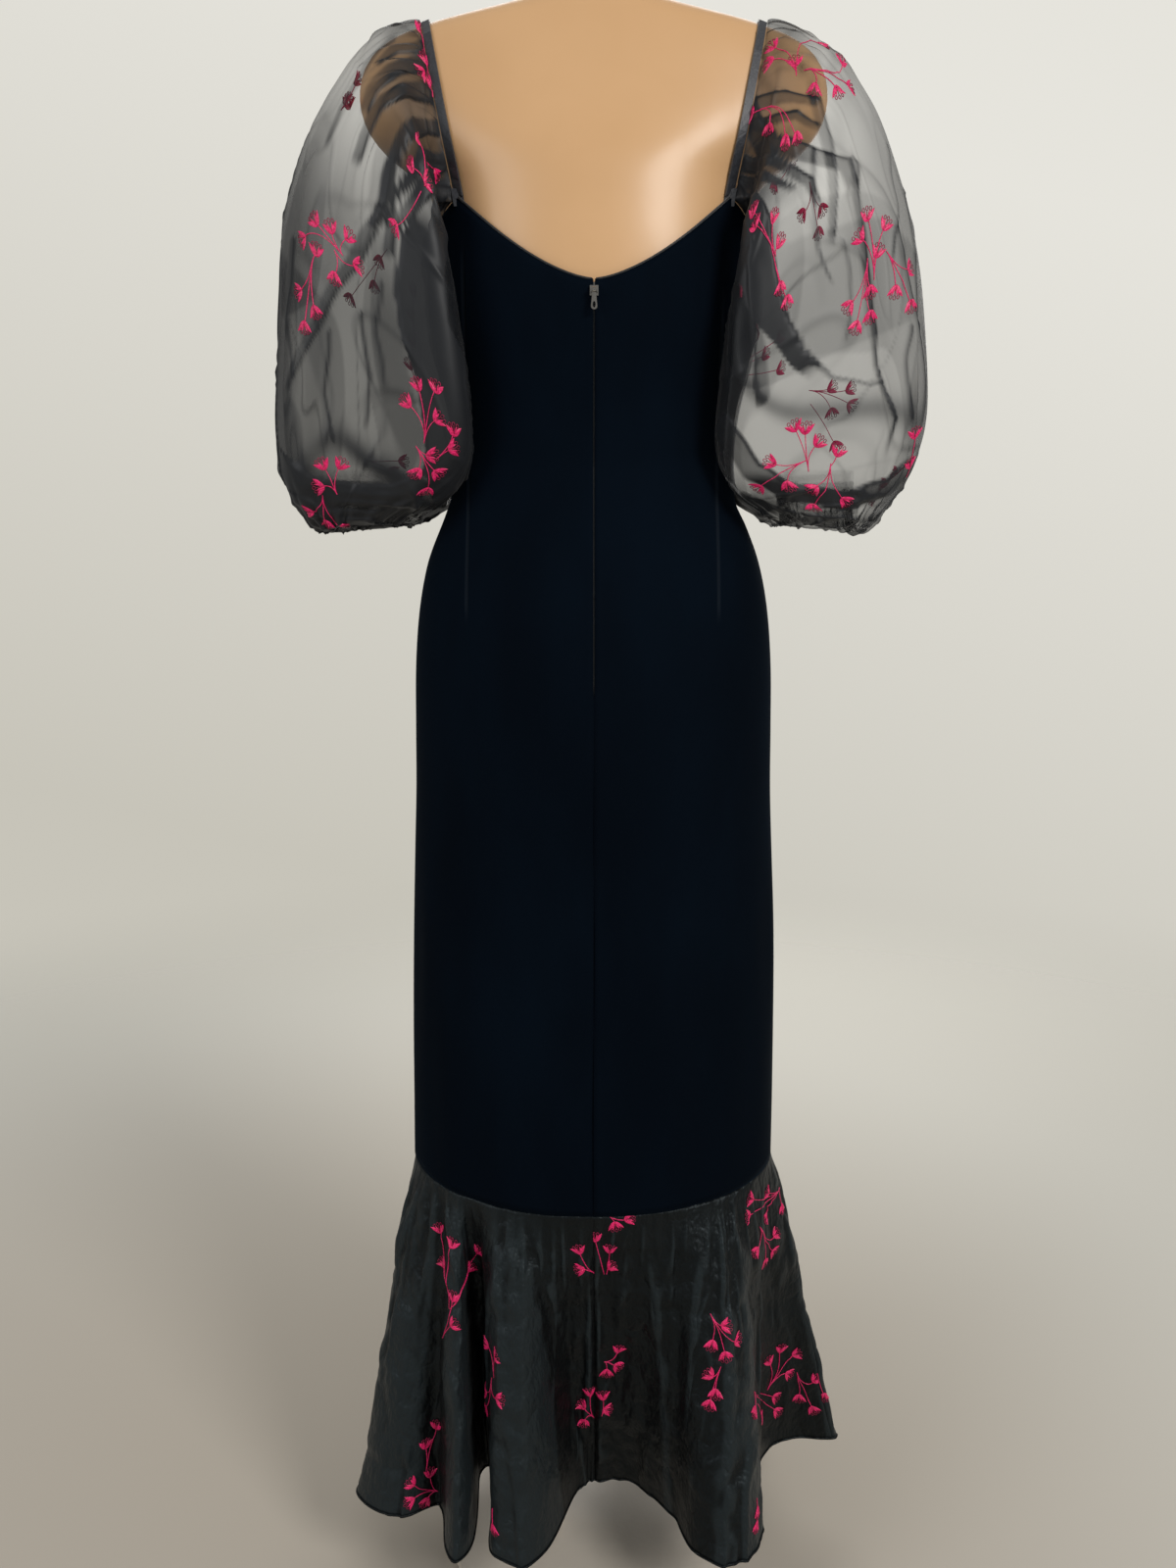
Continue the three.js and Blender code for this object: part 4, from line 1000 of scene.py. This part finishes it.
def sprig(petals, lace, cloth, root, heads, is_far, size):
    """Stems that leave a root together and bend apart to their flowers"""
    faces = (1, -1) if is_far else (1,)
    start = cloth.nearest(*root, is_far)
    steps = [cloth.step(start, cloth.nearest(*head, is_far)) for head in heads]
    leading = sum(steps) / max(np.hypot(*sum(steps)), 1e-6)
    t = np.linspace(0, 1, 12)[:, None]
    for step in steps:
        bend = leading * np.hypot(*step) * 0.6
        path = start + 2 * t * (1 - t) * bend + t * t * step
        points, normal = cloth.sample(path[:, 0], path[:, 1])
        petals.cord(points + normal * (0 if is_far else 0.35), normal, 0.46, sides=4)
        anchor = start + step
        before, normal = cloth.sample(path[-3:-2, 0], path[-3:-2, 1])
        at, _ = cloth.sample(anchor[0:1], anchor[1:2])
        grow = at[0] - before[0]
        row_way = cloth.sample(anchor[0:1] - 1, anchor[1:2])[0][0] - at[0]
        column_way = cloth.sample(anchor[0:1], anchor[1:2] + 1)[0][0] - at[0]
        column_way = column_way * (np.sign(column_way[0]) or 1)
        up = np.dot(grow, row_way) / max(np.linalg.norm(row_way), 1e-6)
        right = np.dot(grow, column_way) / max(np.linalg.norm(column_way), 1e-6)
        flower(petals, lace, cloth, anchor, math.atan2(right, up), faces, size)


def embroider(name, cloth, near, far, slot, size):
    petals, lace = Threads(), Threads()
    for charts, is_far in ((near, False), (far, True)):
        for root, heads in charts:
            sprig(petals, lace, cloth, root, heads, is_far, size)
    petals.shape(f"{name}_petals", petal_thread, slot)
    lace.shape(f"{name}_lace", lace_thread, slot)


# Sprigs by their root and their flowers, as x and z on the cloth. A far one is seen through the sleeve.
CHARTS = {
    "back_left": [
        ((-137, 309), [(-148, 374), (-134, 369), (-144, 343)]),
        ((-136, 309), [(-110, 357), (-119, 337)]),
        ((-144, 276), [(-133, 322), (-132, 299)]),
        ((-93, 257), [(-101, 277), (-91, 280)]),
        ((-95, 254), [(-103, 228), (-103, 211), (-88, 244)]),
        ((-162, 136), [(-152, 179), (-162, 163)]),
        ((-152, 112), [(-159, 133), (-177, 129), (-178, 112), (-164, 106)]),
        ((0, 347), [(-14, 373), (-12, 353)]),
        ((1, 177), [(-3, 210), (-11, 194), (-9, 174)]),
        ((-94, 138), [(-93, 122)]),
    ],
    "back_right": [
        ((10, 343), [(1, 386)]),
        ((12, 343), [(16, 373), (17, 353)]),
        ((15, 409), [(20, 399), (33, 406)]),
        ((11, 246), [(25, 259), (23, 239), (13, 233)]),
        ((8, 184), [(10, 207), (14, 190)]),
        ((189, 383), [(173, 392), (152, 401), (149, 387), (171, 370), (191, 365)]),
        ((162, 369), [(183, 345), (158, 348), (181, 327), (171, 323)]),
        ((110, 314), [(123, 304), (135, 288), (124, 278), (111, 287)]),
        ((119, 268), [(108, 261), (114, 244), (108, 234)]),
        ((179, 167), [(194, 209), (210, 199), (180, 201), (203, 178)]),
        ((212, 178), [(232, 168), (215, 147), (230, 134)]),
        ((153, 229), [(189, 154), (153, 216), (191, 137), (170, 160)]),
        ((154, 139), [(154, 129), (152, 119)]),
    ],
    "front": [
        ((234, 175), [(241, 148)]),
    ],
    "left_near": [
        ((-205, 1254), [(-228, 1282), (-239, 1270), (-215, 1276), (-200, 1269)]),
        ((-212, 1259), [(-193, 1246), (-213, 1238)]),
        ((-230, 1254), [(-227, 1259), (-245, 1229), (-230, 1212), (-241, 1201)]),
        ((-133, 1387), [(-140, 1418), (-145, 1447), (-142, 1405), (-136, 1400)]),
        ((-136, 1305), [(-142, 1343), (-147, 1321), (-132, 1326), (-134, 1309)]),
        ((-139, 1301), [(-161, 1275)]),
        ((-143, 1106), [(-146, 1152), (-131, 1150), (-156, 1139), (-130, 1126)]),
        ((-150, 1104), [(-137, 1097), (-151, 1083), (-133, 1083), (-144, 1069)]),
        ((-133, 1094), [(-118, 1116), (-119, 1103)]),
        ((-222, 1066), [(-232, 1090), (-216, 1090), (-236, 1072)]),
        ((-235, 1065), [(-249, 1051), (-236, 1041), (-220, 1039)]),
    ],
    "left_far": [
        ((-223, 1400), [(-217, 1408), (-207, 1423), (-216, 1406)]),
        ((-200, 1306), [(-213, 1272), (-207, 1295), (-234, 1258)]),
        ((-175, 1219), [(-176, 1268), (-178, 1246)]),
        ((-174, 1173), [(-178, 1222), (-181, 1199)]),
        ((-224, 1106), [(-198, 1095), (-187, 1105)]),
    ],
    "right_near": [
        ((164, 1396), [(148, 1429), (145, 1415), (164, 1410), (189, 1430)]),
        ((170, 1400), [(205, 1416), (210, 1393), (197, 1384), (177, 1383)]),
        ((137, 1376), [(131, 1373), (143, 1357), (155, 1343), (164, 1345)]),
        ((147, 1252), [(129, 1287), (130, 1276), (145, 1283), (150, 1263)]),
        ((143, 1260), [(151, 1228), (157, 1218)]),
        ((230, 1236), [(222, 1285), (238, 1279), (216, 1268), (232, 1258)]),
        ((240, 1259), [(262, 1247), (249, 1229), (264, 1218)]),
        ((223, 1253), [(227, 1228), (210, 1215), (228, 1208), (217, 1200)]),
        ((183, 1084), [(168, 1119), (178, 1118), (189, 1107)]),
        ((180, 1093), [(150, 1091), (142, 1071), (166, 1073)]),
        ((202, 1091), [(188, 1070), (190, 1055), (217, 1060), (207, 1100)]),
        ((272, 1081), [(274, 1115), (273, 1091)]),
    ],
    "right_far": [
        ((206, 1363), [(218, 1339), (201, 1337), (216, 1319)]),
        ((176, 1393), [(173, 1363), (177, 1416), (188, 1384)]),
        ((158, 1233), [(126, 1239), (144, 1243), (151, 1239)]),
        ((142, 1213), [(184, 1224), (169, 1208), (184, 1194), (146, 1195)]),
        ((212, 1173), [(233, 1175), (251, 1174), (252, 1159), (234, 1152)]),
        ((213, 1160), [(237, 1120)]),
        ((292, 1099), [(275, 1082), (283, 1091), (269, 1067)]),
    ],
}

# Places and tilts of the sprigs on the front, which are guesses
FRONT_FANS = [
    (-170, 360, 8), (-150, 240, -10), (-60, 380, 14), (-84, 250, 182), (-40, 160, 6), (10, 320, -8),
    (60, 400, 10), (80, 210, 4), (150, 330, -12), (160, 200, 178), (200, 150, 20), (-190, 150, -12),
]
FAN = [(-24, 14), (-14, 30), (5, 36), (22, 22)]


def fans(rows):
    """Sprigs of the same four flowers, by their roots and tilts"""
    made = []
    for x, z, tilt in rows:
        c, s = math.cos(math.radians(tilt)), math.sin(math.radians(tilt))
        made.append(((x, z), [(x + a * c - b * s, z + a * s + b * c) for a, b in FAN]))
    return made


embroider("flounce_back_left", flounces["flounce_back_left"], CHARTS["back_left"], [], "flounce", 0.92)
embroider("flounce_back_right", flounces["flounce_back_right"], CHARTS["back_right"], [], "flounce", 0.92)
embroider("flounce_front", flounces["flounce_front"], CHARTS["front"], fans(FRONT_FANS), "flounce", 0.92)
embroider("sleeve_left", sleeves["left"], CHARTS["left_near"], CHARTS["left_far"], "organza", 0.95)
embroider("sleeve_right", sleeves["right"], CHARTS["right_near"], CHARTS["right_far"], "organza", 0.95)

# Zip coil and pieces kept from the part
def zip_coil():
    coil = Threads()
    for i, z in enumerate(np.arange(ZIP_BOTTOM_Z + 2, ZIP_TOP_Z, COIL_PITCH)):
        y = -torso_curve(z, 2) - 4.15
        side = 0.35 if i % 2 else -0.35
        line = np.array([[side - 1.0, y, z], [side, y - 0.4, z], [side + 1.0, y, z]])
        coil.cord(line, np.tile([0, -1.0, 0], (3, 1)), 0.45, sides=4)
    coil.shape("zip_coil", zip_cloth, "zip_cloth")


zip_coil()

kept = {
    "strap_left": strap_satin, "strap_right": strap_satin, "cuff_left": cuff_cloth, "cuff_right": cuff_cloth,
    "zip_tape": zip_cloth, "hook_and_eye": nickel, "zip_slider": nickel, "zip_pull": nickel,
    "stand_pole": pole_steel, "stand_plate": plate_paint,
}
for name, material in kept.items():
    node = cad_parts[name]
    node.data.materials.clear()
    node.data.materials.append(material)

# Floor, light and camera
FLOOR_RADIUS = 3.4
LENS = 29.25
EYE = (-0.005, -1.2, 1.01)
TILT = 80

# Soft lights: place, what it points at, size, power and colour
LIGHTS = {
    "window": ((2.0, -2.6, 2.7), (0, 0, 1.1), 1.3, 76, (1.0, 0.985, 0.96)),
    "fill": ((-2.4, -2.0, 2.1), (0, 0, 1.0), 1.8, 27, (0.97, 0.985, 1.0)),
    "overhead": ((0, 1.9, 2.9), (0, 0.1, 0), 1.8, 18, (1, 1, 1)),
    "behind": ((0.5, 2.3, 1.5), (0, 0.3, 0), 1.8, 20, (1.0, 0.985, 0.95)),
}


def floor_finish():
    """Pale, with painted shade that darkens it near the dress and painted light that makes it paler to the
    right, and fading out far from it
    """
    f = Finish("floor")
    x, y, z = f.axes()
    away = (x * x + y * y) ** 0.5
    # Painted light and shade: darker near the dress, paler away from it and towards the right
    painted_floor_light = (away + x * 0.35).rise(0.1, 1.6)
    f.set(Base_Color=f.blend(painted_floor_light, (0.45, 0.405, 0.345, 1), (0.62, 0.605, 0.555, 1)))
    f.set(Roughness=0.9, Specular_IOR_Level=0.1)
    f.show_through(1.0 - away.rise(1.0, FLOOR_RADIUS - 0.5))
    return f.material


def soft_light(name, place, target, size, power, colour):
    light = bpy.data.lights.new(name, "AREA")
    light.shape, light.size, light.energy, light.color = "DISK", size, power, colour
    obj = bpy.data.objects.new(name, light)
    obj.location = place
    x, y, z = np.array(target) - np.array(place)
    obj.rotation_euler = (math.atan2(math.hypot(x, y), -z), 0, math.atan2(y, x) - math.pi / 2)
    bpy.context.scene.collection.objects.link(obj)


def surroundings():
    """Pale, with painted light that makes it lighter upwards and to the right. It lights the dress less than
    it shows.
    """
    world = bpy.data.worlds.new("studio")
    world.use_nodes = True
    nodes, links = world.node_tree.nodes, world.node_tree.links
    way = nodes.new("ShaderNodeSeparateXYZ")
    links.new(nodes.new("ShaderNodeTexCoord").outputs["Generated"], way.inputs[0])
    painted_light_rightward, place = nodes.new("ShaderNodeMath"), nodes.new("ShaderNodeMath")
    painted_light_rightward.operation = "MULTIPLY_ADD"
    links.new(way.outputs["X"], painted_light_rightward.inputs[0])
    painted_light_rightward.inputs[1].default_value, painted_light_rightward.inputs[2].default_value = 0.35, 0.5
    links.new(way.outputs["Z"], place.inputs[0])
    links.new(painted_light_rightward.outputs[0], place.inputs[1])
    # Painted light on the backdrop: darker below and to the left, lighter above and to the right
    painted_backdrop_light = nodes.new("ShaderNodeValToRGB")
    stops = painted_backdrop_light.color_ramp.elements
    stops[0].position, stops[0].color = 0.20, (0.57, 0.55, 0.485, 1)
    stops[1].position, stops[1].color = 0.85, (0.79, 0.775, 0.72, 1)
    links.new(place.outputs[0], painted_backdrop_light.inputs[0])
    shown, lighting = nodes["Background"], nodes.new("ShaderNodeBackground")
    links.new(painted_backdrop_light.outputs[0], shown.inputs["Color"])
    lighting.inputs["Color"].default_value = (0.70, 0.69, 0.66, 1)
    lighting.inputs["Strength"].default_value = 0.42
    either = nodes.new("ShaderNodeMixShader")
    links.new(nodes.new("ShaderNodeLightPath").outputs["Is Camera Ray"], either.inputs[0])
    links.new(lighting.outputs[0], either.inputs[1])
    links.new(shown.outputs[0], either.inputs[2])
    links.new(either.outputs[0], nodes["World Output"].inputs["Surface"])
    return world


FLOOR_DROP = 0.0005
bpy.ops.mesh.primitive_circle_add(
    vertices=96, radius=FLOOR_RADIUS, fill_type="NGON", location=(0, 0, -FLOOR_DROP)
)
floor = bpy.context.object
floor.name = "floor"
floor.data.materials.append(floor_finish())

for name, light in LIGHTS.items():
    soft_light(name, *light)
bpy.context.scene.world = surroundings()
bpy.context.scene.view_settings.view_transform = "Standard"

camera_data = bpy.data.cameras.new("camera")
camera_data.lens, camera_data.sensor_width = LENS, 36
camera = bpy.data.objects.new("camera", camera_data)
camera.location = EYE
camera.rotation_euler = (math.radians(TILT), 0, 0)
bpy.context.scene.collection.objects.link(camera)
bpy.context.scene.camera = camera
